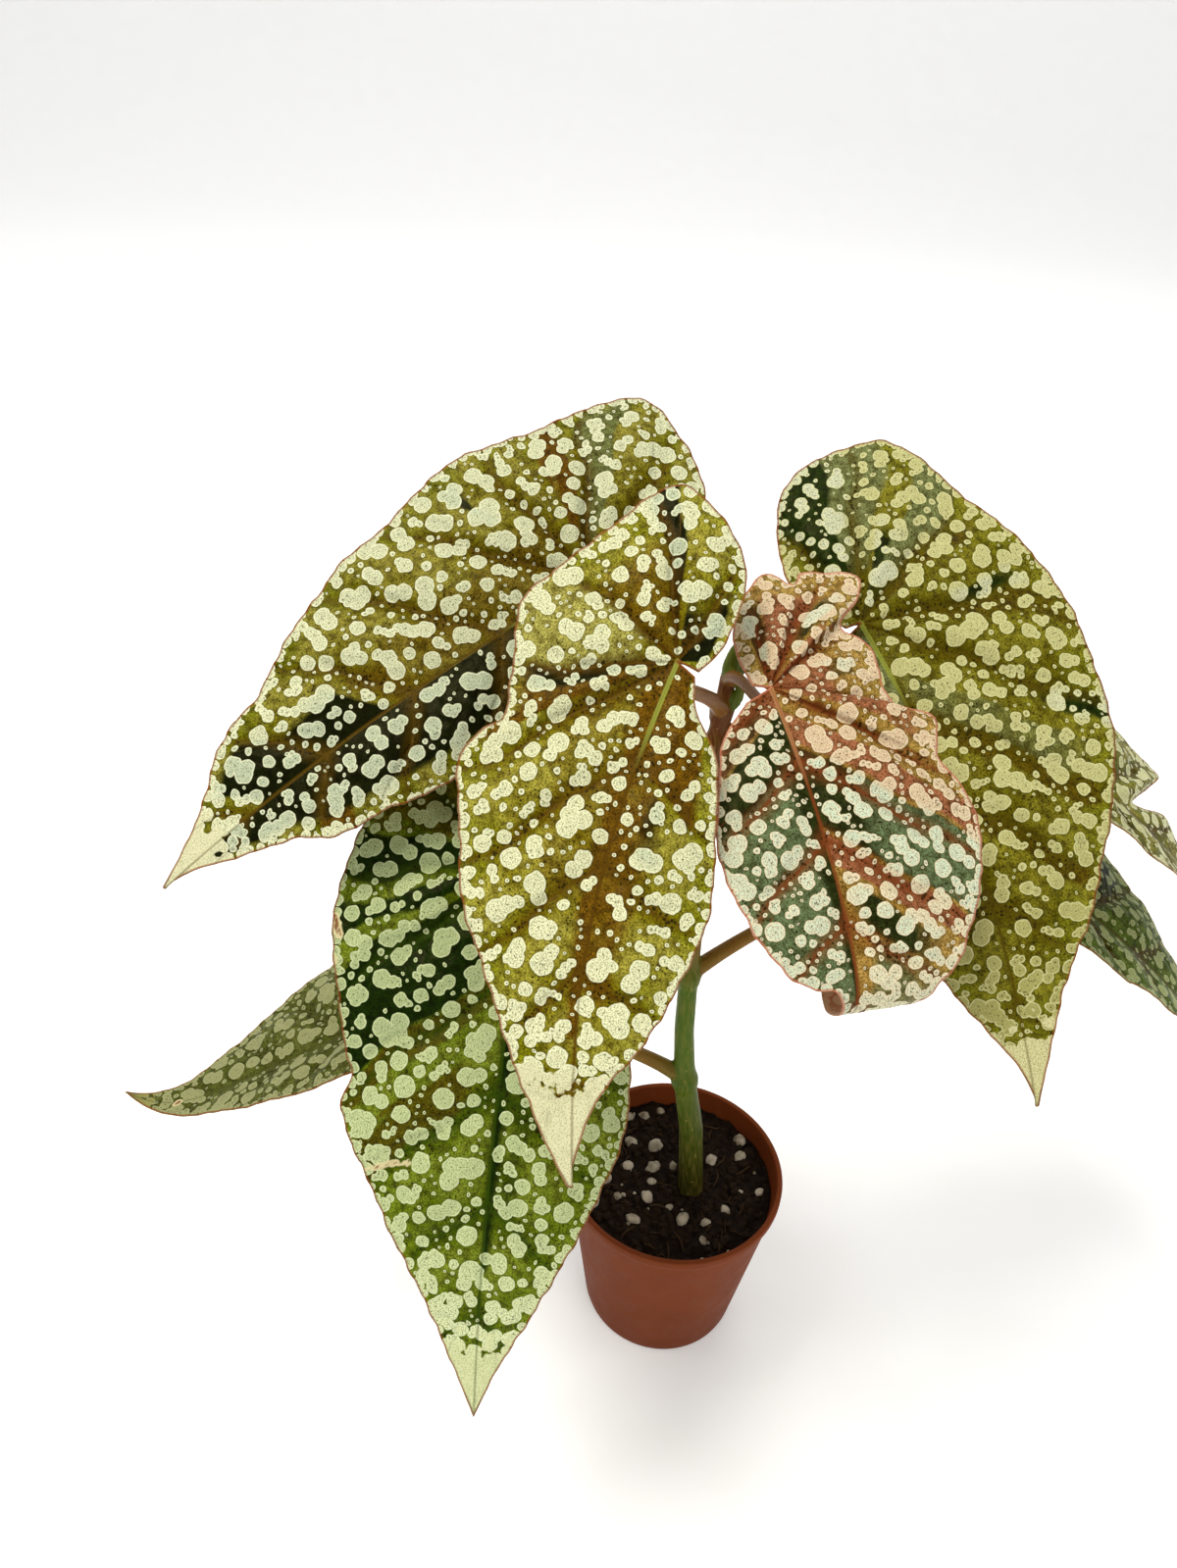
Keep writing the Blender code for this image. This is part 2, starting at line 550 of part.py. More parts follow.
def even_samples(curve, start, end, count):
    """Points spaced evenly along a stretch of a dense curve, between two indices."""
    stretch = curve[start:end + 1]
    run = np.concatenate([[0], np.cumsum(np.linalg.norm(np.diff(stretch, axis=0), axis=1))])
    places = np.linspace(0, run[-1], count + 1)
    return np.stack([np.interp(places, run, stretch[:, 0]), np.interp(places, run, stretch[:, 1])], -1)


def half_rows(leaf, outline, fan_steps, fan_pleats, side):
    """Mesh lines of one half of a blade, each as (rib distance, margin x, margin y, vein count so far)."""
    curve = smooth_curve(outline, 10)
    root = np.maximum.accumulate(curve[:, 0] - VEIN_SLANT * np.abs(curve[:, 1]))
    past_fan = int(np.argmax(root > 0.0))
    rows = []
    for i, (x, y) in enumerate(even_samples(curve, 0, past_fan, fan_steps)):
        rows.append((0.0, x, side * y, fan_pleats * i / fan_steps))
    for j in range(1, MIDRIB_STATIONS + 1):
        share = j / MIDRIB_STATIONS
        rib = leaf.length * (1 - (1 - share) ** STATION_CROWDING)
        x = np.interp(rib, root[past_fan:], curve[past_fan:, 0])
        y = np.interp(rib, root[past_fan:], curve[past_fan:, 1])
        rows.append((rib, x, side * y, fan_pleats + PLEATS_ALONG_RIB * rib / leaf.length))
    return rows


def build_leaf(leaf):
    """Blade with pleats between its main veins, as one thin closed solid."""
    points = []
    faces = []

    def add_point(x, y, lift):
        points.append(leaf.point(x, y) + leaf.normal(x, y) * lift)
        return len(points) - 1

    rib = {0.0: add_point(0.0, 0.0, 0.0)}
    for side, outline, steps, pleats in ((leaf.wide_side, leaf.wide, FAN_STEPS_WIDE, FAN_PLEATS),
                                         (-leaf.wide_side, leaf.narrow, FAN_STEPS_NARROW, 0)):
        lines = []
        for start, x, y, veins in half_rows(leaf, outline, steps, pleats, side):
            at_tip = start > leaf.length - 0.01
            if start not in rib:
                rib[start] = add_point(start, leaf.rib_offset(start), 0.0)
            line = [rib[start]]
            for share in BLADE_RINGS[1:]:
                if at_tip:
                    line.append(rib[start])
                    continue
                across = leaf.rib_offset(start) + (y - leaf.rib_offset(start)) * share
                puff = PLEAT_HEIGHT * (0.5 - 0.5 * math.cos(2 * math.pi * veins))
                width = min(max(math.hypot(x - start, y) - PLEAT_START, 0.0) / PLEAT_RAMP, 1.0)
                lift = puff * width * math.sin(math.pi * min(share, PLEAT_PEAK_TO_MARGIN))
                line.append(add_point(start + (x - start) * share, across, lift))
            lines.append(line)
        for low, high in zip(lines, lines[1:]):
            for k in range(len(low) - 1):
                for corners in ((low[k], low[k + 1], high[k + 1]), (low[k], high[k + 1], high[k])):
                    if len(set(corners)) == 3:
                        faces.append(corners[::side])
    blade = add_object(leaf.name, points, faces, material(leaf.name + " blade", leaf.colour, 0.35))
    shell = blade.modifiers.new("thickness", "SOLIDIFY")
    shell.thickness = BLADE_THICKNESS * MM
    shell.offset = 0.0
    split = blade.modifiers.new("triangles", "TRIANGULATE")
    split.quad_method = "FIXED"
    return blade


def main():
    """Build every piece of the plant."""
    clear_scene()
    build_pot()
    build_soil()
    build_cane()
    for leaf in LEAVES:
        build_leaf(leaf)


main()
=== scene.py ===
"""Looks of a potted cane begonia: fine spotted blades, cane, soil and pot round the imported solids.

Every class is one sub-assembly of the plant. Lengths are written in millimetres and turned to metres by MM.
Z is up, the pot's axis is x = y = 0, and -Y is the front.
"""

import logging
import math
import random
from dataclasses import dataclass, field
from enum import Enum

import bmesh
import bpy
import numpy as np
from mathutils import Matrix, Vector, noise


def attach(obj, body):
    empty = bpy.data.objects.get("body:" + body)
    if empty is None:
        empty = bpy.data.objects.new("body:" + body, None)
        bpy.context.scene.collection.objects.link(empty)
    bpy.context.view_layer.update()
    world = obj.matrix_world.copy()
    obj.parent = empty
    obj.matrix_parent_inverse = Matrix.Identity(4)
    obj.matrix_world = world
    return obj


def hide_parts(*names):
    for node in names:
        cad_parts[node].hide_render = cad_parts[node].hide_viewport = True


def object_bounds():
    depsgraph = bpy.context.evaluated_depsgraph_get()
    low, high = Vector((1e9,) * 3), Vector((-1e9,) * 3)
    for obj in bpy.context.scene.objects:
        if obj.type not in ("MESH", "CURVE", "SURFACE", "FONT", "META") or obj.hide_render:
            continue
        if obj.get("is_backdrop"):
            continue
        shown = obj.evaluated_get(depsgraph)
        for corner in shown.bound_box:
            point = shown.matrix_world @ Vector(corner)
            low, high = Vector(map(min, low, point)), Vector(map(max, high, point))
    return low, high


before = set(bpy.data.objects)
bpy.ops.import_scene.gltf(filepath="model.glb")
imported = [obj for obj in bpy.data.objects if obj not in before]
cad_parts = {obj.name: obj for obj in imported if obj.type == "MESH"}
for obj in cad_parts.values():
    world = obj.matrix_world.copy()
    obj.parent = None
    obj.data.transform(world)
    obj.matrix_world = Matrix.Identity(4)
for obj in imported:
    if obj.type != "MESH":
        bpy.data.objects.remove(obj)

MM = 0.001
BODY = "root"
log = logging.getLogger("begonia")

Pairs = tuple[tuple[float, float], ...]
Triple = tuple[float, float, float]
Colour = tuple[float, float, float, float]


class Side(Enum):
    """Side of the midrib, seen from above with the tip ahead."""

    LEFT = 1
    RIGHT = -1


class Half(Enum):
    """Half of a lopsided blade."""

    WIDE = "wide"
    NARROW = "narrow"


class Tone(Enum):
    """Ground tones that a stretch of blade may have, and a painted sheen, by their place in the zone attribute."""

    DARK = 0
    # Painted sheen: a grey-green reflection of the light laid in as colour.
    PAINTED_SHEEN = 1
    WARM = 2


def linear(hex_colour: str) -> Colour:
    """Turns an sRGB hex colour into linear values.

    Args:
        hex_colour: Six hex digits after a hash sign.

    Returns:
        Linear red, green and blue with a full alpha.
    """
    parts = [int(hex_colour[i:i + 2], 16) / 255 for i in (1, 3, 5)]
    light = [c / 12.92 if c <= 0.04045 else ((c + 0.055) / 1.055) ** 2.4 for c in parts]
    return (*light, 1.0)


def add_node(tree: bpy.types.NodeTree, kind: str, settings: dict | None = None,
             links: dict | None = None) -> bpy.types.Node:
    """Adds one shader node with its settings and its inputs.

    Args:
        tree: Node tree that gets the node.
        kind: Type of the node, without its ShaderNode prefix.
        settings: Properties of the node.
        links: Values, sockets or nodes for its inputs, by name or by number.

    Returns:
        The new node.
    """
    node = tree.nodes.new("ShaderNode" + kind)
    for name, value in (settings or {}).items():
        setattr(node, name, value)
    for key, value in (links or {}).items():
        if isinstance(key, int):
            socket = node.inputs[key]
        else:
            socket = next(s for s in node.inputs if s.enabled and s.name == key)
        if isinstance(value, bpy.types.Node):
            value = next(s for s in value.outputs if s.enabled)
        if isinstance(value, bpy.types.NodeSocket):
            tree.links.new(value, socket)
        else:
            socket.default_value = value
    return node


def new_finish(name: str) -> tuple[bpy.types.Material, bpy.types.NodeTree, bpy.types.Node]:
    """Makes an empty material with its Principled shader.

    Args:
        name: Name of the material.

    Returns:
        The material, its node tree and its shader node.
    """
    finish = bpy.data.materials.new(name)
    finish.use_nodes = True
    return finish, finish.node_tree, finish.node_tree.nodes["Principled BSDF"]


def add_mesh(name: str, points: np.ndarray, faces: list, smooth: bool = True) -> bpy.types.Object:
    """Makes a mesh object from points in millimetres, its faces turned outwards.

    Args:
        name: Name of the object.
        points: One row of x, y and z for each point.
        faces: Corner numbers of each face.
        smooth: Whether the faces are shaded smooth.

    Returns:
        The new object, linked to the scene.
    """
    mesh = bpy.data.meshes.new(name)
    mesh.from_pydata((np.asarray(points) * MM).tolist(), [], faces)
    work = bmesh.new()
    work.from_mesh(mesh)
    bmesh.ops.recalc_face_normals(work, faces=work.faces)
    work.to_mesh(mesh)
    work.free()
    if smooth:
        mesh.shade_smooth()
    thing = bpy.data.objects.new(name, mesh)
    bpy.context.scene.collection.objects.link(thing)
    return thing


def settle(piece: bpy.types.Object, slot: str, *nodes: str) -> None:
    """Puts a finished piece on its body in place of its CAD nodes.

    Args:
        piece: The finished piece.
        slot: Material slot of the record that it stands in for, only written to the log.
        nodes: CAD nodes that it stands for.
    """
    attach(piece, BODY)
    if nodes:
        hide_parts(*nodes)
    piece.data.calc_loop_triangles()
    log.info("%s: %d triangles, slot %s", piece.name, len(piece.data.loop_triangles), slot)


def smooth_curve(points: tuple, per_span: int) -> np.ndarray:
    """Follows a Catmull-Rom curve through points.

    Args:
        points: Points of any dimension that the curve goes through.
        per_span: Steps from each point to the next.

    Returns:
        The curve's points.
    """
    pts = np.asarray(points, float)
    padded = np.vstack([2 * pts[0] - pts[1], pts, 2 * pts[-1] - pts[-2]])
    curve = []
    for a, b, c, d in zip(padded, padded[1:], padded[2:], padded[3:]):
        for i in range(per_span):
            t = i / per_span
            curve.append(0.5 * (2 * b + (c - a) * t + (2 * a - 5 * b + 4 * c - d) * t ** 2
                                + (3 * b - a - 3 * c + d) * t ** 3))
    curve.append(pts[-1])
    return np.array(curve)


def even_samples(curve: np.ndarray, count: int) -> np.ndarray:
    """Spaces points evenly along a curve.

    Args:
        curve: Points of the curve.
        count: Number of steps, one less than the points returned.

    Returns:
        The spaced points.
    """
    run = np.concatenate([[0], np.cumsum(np.linalg.norm(np.diff(curve, axis=0), axis=1))])
    places = np.linspace(0, run[-1], count + 1)
    return np.stack([np.interp(places, run, column) for column in curve.T], -1)


def smooth_step(value: np.ndarray, start: float, end: float) -> np.ndarray:
    """Eases from 0 at start to 1 at end."""
    share = np.clip((value - start) / (end - start), 0, 1)
    return share * share * (3 - 2 * share)


@dataclass(frozen=True)
class BladeSkin:
    """Waxy cuticle of a begonia blade.

    The living surface is faintly bumpy with cells, so it gives a broken satin shine. Air under the outer skin
    makes the cream spots, which have hardly any green behind them. Colours are of the parts of the blade, save
    the painted highlight on the pleat crests, the painted sheen and the painted shade in the vein creases.
    """

    name: str
    ground: str = "#756d09"
    # Painted highlight laid on the pleat crests between the veins.
    crest_highlight: str = "#9f9840"
    margin_green: str = "#767d0a"
    dark: str = "#131903"
    # Painted sheen: a reflection of the light laid in as grey-green colour.
    painted_sheen: str = "#757e48"
    warm: str = "#6b4b08"
    speckle: str = "#191203"
    # Colour of the veins, also laid beside them as painted shade in the creases.
    vein: str = "#4c3807"
    rib: str = "#98a544"
    spot: str = "#cdcfab"
    spot_shade: str = "#747a50"
    spot_rim: str = "#dbdcb8"
    spot_on_dark: str = "#b6bfa4"
    spot_by_tip: str = "#d9dab4"
    tip: str = "#cfcba3"
    edge: str = "#7a3f1c"
    under: str = "#8c7c4b"
    callus: str = "#cdbf92"
    torn: str = "#6e4220"
    tip_fade: tuple[float, float] = (-45.0, -8.0)
    roughness: float = 0.4

    CELL_SIZE_MM = 0.45
    NET_SIZE_MM = 2.6
    STIPPLE_SIZE_MM = 0.27
    GRAIN_SIZE_MM = 0.35
    SPECKLE_SPACING_MM = 0.8
    MOTTLE_SIZE_MM = 5.0
    BLOTCH_SIZE_MM = 1.6

    def build(self) -> bpy.types.Material:
        """Makes the material."""
        finish, tree, shader = new_finish(self.name)
        place = add_node(tree, "Attribute", {"attribute_name": "leaf_plane"})
        plane = add_node(tree, "SeparateXYZ", {}, {0: place.outputs["Vector"]})
        flat = add_node(tree, "CombineXYZ", {}, {0: plane.outputs[0], 1: plane.outputs[1], 2: 0.0})
        lines = add_node(tree, "SeparateXYZ", {}, {
            0: add_node(tree, "Attribute", {"attribute_name": "vein_lines"}).outputs["Vector"]})
        zones = add_node(tree, "SeparateXYZ", {}, {
            0: add_node(tree, "Attribute", {"attribute_name": "tone_zones"}).outputs["Vector"]})
        facts = add_node(tree, "SeparateXYZ", {}, {
            0: add_node(tree, "Attribute", {"attribute_name": "blade_facts"}).outputs["Vector"]})
        inset = plane.outputs[2]
        under = facts.outputs[0]
        tip_reach = facts.outputs[1]

        spot_gap, centre_gap = self.spot_distance(tree, flat)
        ground = self.ground_colour(tree, flat, inset, zones, lines)
        stipple = add_node(tree, "TexNoise", {}, {"Vector": flat, "Scale": 1 / self.STIPPLE_SIZE_MM,
                                                  "Detail": 1.0})
        stipple_share = add_node(tree, "MapRange", {}, {0: stipple.outputs[0], 1: 0.44, 2: 0.64, 3: 0.0, 4: 0.8})
        by_tip = add_node(tree, "MapRange", {}, {0: tip_reach, 1: self.tip_fade[0], 2: self.tip_fade[1],
                                                 3: 0.0, 4: 1.0})
        run_out = add_node(tree, "Mix", {"data_type": "RGBA"}, {
            "Factor": by_tip, "A": linear(self.spot), "B": linear(self.spot_by_tip)})
        cooled = add_node(tree, "Mix", {"data_type": "RGBA"}, {
            "Factor": zones.outputs[Tone.DARK.value], "A": run_out, "B": linear(self.spot_on_dark)})
        spot_colour = add_node(tree, "Mix", {"data_type": "RGBA"}, {
            "Factor": stipple_share, "A": cooled, "B": linear(self.spot_shade)})
        rim = add_node(tree, "MapRange", {}, {0: spot_gap, 1: -0.3, 2: -0.12, 3: 0.0, 4: 0.7})
        rimmed = add_node(tree, "Mix", {"data_type": "RGBA"}, {
            "Factor": rim, "A": spot_colour, "B": linear(self.spot_rim)})
        centre = add_node(tree, "MapRange", {}, {0: centre_gap, 1: 0.18, 2: 0.1, 3: 0.0, 4: 0.75})
        dotted = add_node(tree, "Mix", {"data_type": "RGBA"}, {
            "Factor": centre, "A": rimmed, "B": linear(self.speckle)})
        spot_share = add_node(tree, "MapRange", {}, {0: spot_gap, 1: 0.05, 2: -0.05, 3: 0.0, 4: 1.0})
        halo = add_node(tree, "MapRange", {}, {0: spot_gap, 1: 0.3, 2: 0.05, 3: 0.0, 4: 0.3})
        haloed = add_node(tree, "Mix", {"data_type": "RGBA"}, {
            "Factor": halo, "A": ground, "B": linear(self.dark)})
        marked = add_node(tree, "Mix", {"data_type": "RGBA"}, {
            "Factor": spot_share, "A": haloed, "B": dotted})

        ragged = add_node(tree, "TexNoise", {}, {"Vector": flat, "Scale": 0.35, "Detail": 3.0})
        ragged_reach = add_node(tree, "Math", {"operation": "MULTIPLY_ADD"}, {
            0: ragged.outputs[0], 1: 14.0, 2: tip_reach})
        beaded_reach = add_node(tree, "Math", {"operation": "MULTIPLY_ADD"}, {
            0: spot_gap, 1: -3.0, 2: ragged_reach})
        tip_share = add_node(tree, "MapRange", {}, {0: beaded_reach, 1: 6.6, 2: 7.2, 3: 0.0, 4: 0.94})
        tip_tone = add_node(tree, "Mix", {"data_type": "RGBA"}, {
            "Factor": stipple_share, "A": linear(self.tip), "B": spot_colour})
        tipped = add_node(tree, "Mix", {"data_type": "RGBA"}, {
            "Factor": tip_share, "A": marked, "B": tip_tone})

        rib_share = add_node(tree, "MapRange", {}, {0: facts.outputs[2], 1: 0.2, 2: 0.75, 3: 0.0, 4: 0.9})
        ribbed = add_node(tree, "Mix", {"data_type": "RGBA"}, {
            "Factor": rib_share, "A": tipped, "B": linear(self.rib)})
        for column, width, strength in ((0, 0.34, 0.34), (2, 0.34, 0.5)):
            share = add_node(tree, "MapRange", {}, {0: lines.outputs[column], 1: width, 2: width * 0.2,
                                                    3: 0.0, 4: strength})
            ribbed = add_node(tree, "Mix", {"data_type": "RGBA"}, {
                "Factor": share, "A": ribbed, "B": linear(self.vein)})
        scar_gap = add_node(tree, "Math", {"operation": "MULTIPLY_ADD"}, {
            0: ragged.outputs[0], 1: 1.6, 2: add_node(tree, "Attribute", {"attribute_name": "scar_gap"}).outputs["Fac"]})
        for colour, gap, strength in ((self.callus, 1.4, 0.85), (self.torn, 0.95, 0.9)):
            share = add_node(tree, "MapRange", {}, {0: scar_gap, 1: gap, 2: gap - 0.2, 3: 0.0, 4: strength})
            ribbed = add_node(tree, "Mix", {"data_type": "RGBA"}, {
                "Factor": share, "A": ribbed, "B": linear(colour)})
        edge_share = add_node(tree, "MapRange", {}, {0: inset, 1: 0.5, 2: 0.2, 3: 0.0, 4: 0.85})
        edged = add_node(tree, "Mix", {"data_type": "RGBA"}, {
            "Factor": edge_share, "A": ribbed, "B": linear(self.edge)})
        top_or_under = add_node(tree, "Mix", {"data_type": "RGBA"}, {
            "Factor": under, "A": edged, "B": self.under_colour(tree, flat, spot_share, lines)})
        tree.links.new(top_or_under.outputs[2], shader.inputs["Base Color"])

        shine = add_node(tree, "TexNoise", {}, {"Vector": flat, "Scale": 1 / 1.7, "Detail": 2.0})
        rough = add_node(tree, "MapRange", {}, {0: shine.outputs[0], 1: 0.3, 2: 0.7,
                                                3: self.roughness - 0.06, 4: self.roughness + 0.08})
        tree.links.new(rough.outputs[0], shader.inputs["Roughness"])
        shader.inputs["Specular IOR Level"].default_value = 0.06
        shader.inputs["Specular Tint"].default_value = linear("#fff0b0")
        tree.links.new(self.relief(tree, flat, spot_share, lines).outputs[0], shader.inputs["Normal"])
        return finish

    def spot_distance(self, tree: bpy.types.NodeTree, flat: bpy.types.Node) -> tuple:
        """Finds how far a point is from the rim and from the centre of the nearest spots.

        Args:
            tree: Node tree of the material.
            flat: Place on the flattened blade, in millimetres.

        Returns:
            Nodes for the distance to the nearest rim, negative inside a spot, and to the nearest centre.
        """
        waver = add_node(tree, "TexNoise", {}, {"Vector": flat, "Scale": 0.5, "Detail": 1.0})
        centred = add_node(tree, "VectorMath", {"operation": "SUBTRACT"}, {
            0: waver.outputs["Color"], 1: (0.5, 0.5, 0.5)})
        shift = add_node(tree, "VectorMath", {"operation": "MULTIPLY"}, {0: centred, 1: (0.9, 0.9, 0.0)})
        nearest_rim = nearest_centre = None
        for slot in range(SPOT_SLOTS):
            spot = add_node(tree, "Attribute", {"attribute_name": f"spot_{slot}"})
            parts = add_node(tree, "SeparateXYZ", {}, {0: spot.outputs["Vector"]})
            offset = add_node(tree, "VectorMath", {"operation": "MULTIPLY"}, {
                0: spot.outputs["Vector"], 1: (1.0, 1.0, 0.0)})
            moved = add_node(tree, "VectorMath", {"operation": "ADD"}, {0: offset, 1: shift})
            length = add_node(tree, "VectorMath", {"operation": "LENGTH"}, {0: moved})
            centre = length.outputs["Value"]
            rim = add_node(tree, "Math", {"operation": "SUBTRACT"}, {0: centre, 1: parts.outputs[2]})
            if slot == 0:
                nearest_rim, nearest_centre = rim, centre
                continue
            nearest_rim = add_node(tree, "Math", {"operation": "MINIMUM"}, {0: nearest_rim, 1: rim})
            nearest_centre = add_node(tree, "Math", {"operation": "MINIMUM"}, {0: nearest_centre, 1: centre})
        return nearest_rim, nearest_centre

    def ground_colour(self, tree: bpy.types.NodeTree, flat: bpy.types.Node, inset: bpy.types.NodeSocket,
                      zones: bpy.types.Node, lines: bpy.types.Node) -> bpy.types.Node:
        """Paints the ground between the spots: green margins, a painted highlight on the pleat crests, tone zones
        with painted sheen, mottling, painted shade in the vein creases, veins and dark specks.

        Args:
            tree: Node tree of the material.
            flat: Place on the flattened blade, in millimetres.
            inset: Distance from the margin, in millimetres.
            zones: Shares of the dark and warm tones and of the painted sheen.
            lines: Distances from the main veins, their forks and the midrib.

        Returns:
            Node that gives the colour.
        """
        mottle = add_node(tree, "TexNoise", {}, {"Vector": flat, "Scale": 1 / self.MOTTLE_SIZE_MM,
                                                 "Detail": 4.0, "Roughness": 0.6})
        margin_share = add_node(tree, "MapRange", {}, {0: inset, 1: 9.0, 2: 1.0, 3: 0.0, 4: 0.85})
        colour = add_node(tree, "Mix", {"data_type": "RGBA"}, {
            "Factor": margin_share, "A": linear(self.ground), "B": linear(self.margin_green)})
        # Painted highlight: the pleat crests away from the veins are lightened in patches, as where they catch the
        # light.
        swell = add_node(tree, "MapRange", {"interpolation_type": "SMOOTHSTEP"}, {
            0: lines.outputs[0], 1: 1.2, 2: 5.0, 3: 0.0, 4: 0.85})
        uneven = add_node(tree, "TexNoise", {}, {"Vector": flat, "Scale": 0.11, "Detail": 3.0})
        uneven_share = add_node(tree, "MapRange", {}, {0: uneven.outputs[0], 1: 0.35, 2: 0.6, 3: 0.0, 4: 1.0})
        crest_highlight = add_node(tree, "Math", {"operation": "MULTIPLY"}, {0: swell, 1: uneven_share})
        colour = add_node(tree, "Mix", {"data_type": "RGBA"}, {
            "Factor": crest_highlight, "A": colour, "B": linear(self.crest_highlight)})
        # Warm and dark are the blade's own tones; the third is painted sheen, a reflection laid in as colour.
        tones_and_sheen = ((Tone.WARM, self.warm), (Tone.DARK, self.dark), (Tone.PAINTED_SHEEN, self.painted_sheen))
        for tone, shade in tones_and_sheen:
            ragged = add_node(tree, "Math", {"operation": "MULTIPLY_ADD"}, {
                0: mottle.outputs[0], 1: 0.55, 2: zones.outputs[tone.value]})
            share = add_node(tree, "MapRange", {}, {0: ragged, 1: 0.62, 2: 1.05, 3: 0.0, 4: 1.0})
            colour = add_node(tree, "Mix", {"data_type": "RGBA"}, {
                "Factor": share, "A": colour, "B": linear(shade)})
        for size, low, high, strength in ((self.BLOTCH_SIZE_MM, 0.4, 0.68, 0.8), (self.GRAIN_SIZE_MM, 0.4, 0.64, 0.85)):
            patches = add_node(tree, "TexNoise", {}, {"Vector": flat, "Scale": 1 / size, "Detail": 2.0})
            share = add_node(tree, "MapRange", {}, {0: patches.outputs[0], 1: low, 2: high, 3: 0.0, 4: strength})
            colour = add_node(tree, "Mix", {"data_type": "RGBA", "blend_type": "MULTIPLY"}, {
                "Factor": share, "A": colour, "B": linear("#8c8152")})
        # Painted shade: a soft band of vein colour beside each main vein, where the creases would be shaded.
        crease_shade = add_node(tree, "MapRange", {"interpolation_type": "SMOOTHSTEP"}, {
            0: lines.outputs[0], 1: 3.0, 2: 0.1, 3: 0.0, 4: 0.6})
        colour = add_node(tree, "Mix", {"data_type": "RGBA"}, {
            "Factor": crease_shade, "A": colour, "B": linear(self.vein)})
        for column, width, strength in ((0, 0.5, 0.85), (1, 0.3, 0.6), (2, 0.5, 0.8)):
            share = add_node(tree, "MapRange", {}, {0: lines.outputs[column], 1: width, 2: width * 0.2,
                                                    3: 0.0, 4: strength})
            colour = add_node(tree, "Mix", {"data_type": "RGBA"}, {
                "Factor": share, "A": colour, "B": linear(self.vein)})
        grains = add_node(tree, "TexVoronoi", {}, {"Vector": flat, "Scale": 1 / self.SPECKLE_SPACING_MM,
                                                   "Randomness": 1.0})
        near_vein = add_node(tree, "MapRange", {}, {0: lines.outputs[0], 1: 2.0, 2: 0.3, 3: 0.0, 4: 0.16})
        crowd = add_node(tree, "MapRange", {}, {0: mottle.outputs[0], 1: 0.38, 2: 0.62,
                                                3: 0.12, 4: 0.3})
        crowd = add_node(tree, "Math", {"operation": "ADD"}, {0: crowd, 1: near_vein})
        nearness = add_node(tree, "Math", {"operation": "SUBTRACT"}, {0: crowd, 1: grains.outputs["Distance"]})
        speck = add_node(tree, "MapRange", {}, {0: nearness, 1: 0.0, 2: 0.08, 3: 0.0, 4: 0.85})
        colour = add_node(tree, "Mix", {"data_type": "RGBA"}, {
            "Factor": speck, "A": colour, "B": linear(self.speckle)})
        return colour

    def under_colour(self, tree: bpy.types.NodeTree, flat: bpy.types.Node, spot_share: bpy.types.Node,
                     lines: bpy.types.Node) -> bpy.types.Node:
        """Paints the dull underside, where the spots show through faintly.

        Args:
            tree: Node tree of the material.
            flat: Place on the flattened blade, in millimetres.
            spot_share: How much of a spot lies above.
            lines: Distances from the veins.

        Returns:
            Node that gives the colour.
        """
        cloud = add_node(tree, "TexNoise", {}, {"Vector": flat, "Scale": 0.25, "Detail": 4.0})
        pale = add_node(tree, "Math", {"operation": "MULTIPLY"}, {0: spot_share, 1: 0.45})
        base = add_node(tree, "Mix", {"data_type": "RGBA"}, {
            "Factor": cloud.outputs[0], "A": linear(self.under), "B": linear(self.warm)})
        spotted = add_node(tree, "Mix", {"data_type": "RGBA"}, {
            "Factor": pale, "A": base, "B": linear(self.spot)})
        vein = add_node(tree, "MapRange", {}, {0: lines.outputs[0], 1: 0.6, 2: 0.2, 3: 0.0, 4: 0.7})
        return add_node(tree, "Mix", {"data_type": "RGBA"}, {
            "Factor": vein, "A": spotted, "B": linear(self.edge)}).outputs[2]

    def relief(self, tree: bpy.types.NodeTree, flat: bpy.types.Node, spot_share: bpy.types.Node,
               lines: bpy.types.Node) -> bpy.types.Node:
        """Adds the fine cells, the net of small veins and the faint rise of each spot as bump.

        Args:
            tree: Node tree of the material.
            flat: Place on the flattened blade, in millimetres.
            spot_share: How much of a spot covers the point.
            lines: Distances from the veins.

        Returns:
            Bump node, its heights in millimetres.
        """
        cells = add_node(tree, "TexVoronoi", {}, {"Vector": flat, "Scale": 1 / self.CELL_SIZE_MM})
        cell_height = add_node(tree, "Math", {"operation": "MULTIPLY"}, {0: cells.outputs["Distance"], 1: -0.05})
        net = add_node(tree, "TexVoronoi", {"feature": "DISTANCE_TO_EDGE"}, {
            "Vector": flat, "Scale": 1 / self.NET_SIZE_MM})
        net_height = add_node(tree, "MapRange", {}, {0: net.outputs["Distance"], 1: 0.0, 2: 0.16, 3: -0.06, 4: 0.0})
        spot_height = add_node(tree, "Math", {"operation": "MULTIPLY"}, {0: spot_share, 1: 0.03})
        fork = add_node(tree, "MapRange", {"interpolation_type": "SMOOTHSTEP"}, {
            0: lines.outputs[1], 1: 0.0, 2: 1.2, 3: -0.3, 4: 0.0})
        first = add_node(tree, "Math", {"operation": "ADD"}, {0: cell_height, 1: net_height})
        second = add_node(tree, "Math", {"operation": "ADD"}, {0: first, 1: spot_height})
        total = add_node(tree, "Math", {"operation": "ADD"}, {0: second, 1: fork})
        return add_node(tree, "Bump", {}, {"Strength": 0.8, "Distance": MM, "Height": total})


SPOT_SLOTS = 4
VEIN_SLANT = 0.84
FAN_VEINS = 5
VEINS_ALONG_RIB = 5
STATION_CROWDING = 1.15
PLEAT_HEIGHT = 2.2
PLEAT_START = 8.0
PLEAT_RAMP = 17.0
PLEAT_PEAK_TO_MARGIN = 0.9
FOLD_START = 3.0
FOLD_CHANGE_REACH = 30.0
FOLD_CHANGE_LIMIT = 1.5
FOLD_STEPS = 12
FOLD_FADE: Pairs = ((0.0, 1.0), (60.0, 0.8), (110.0, 0.5))

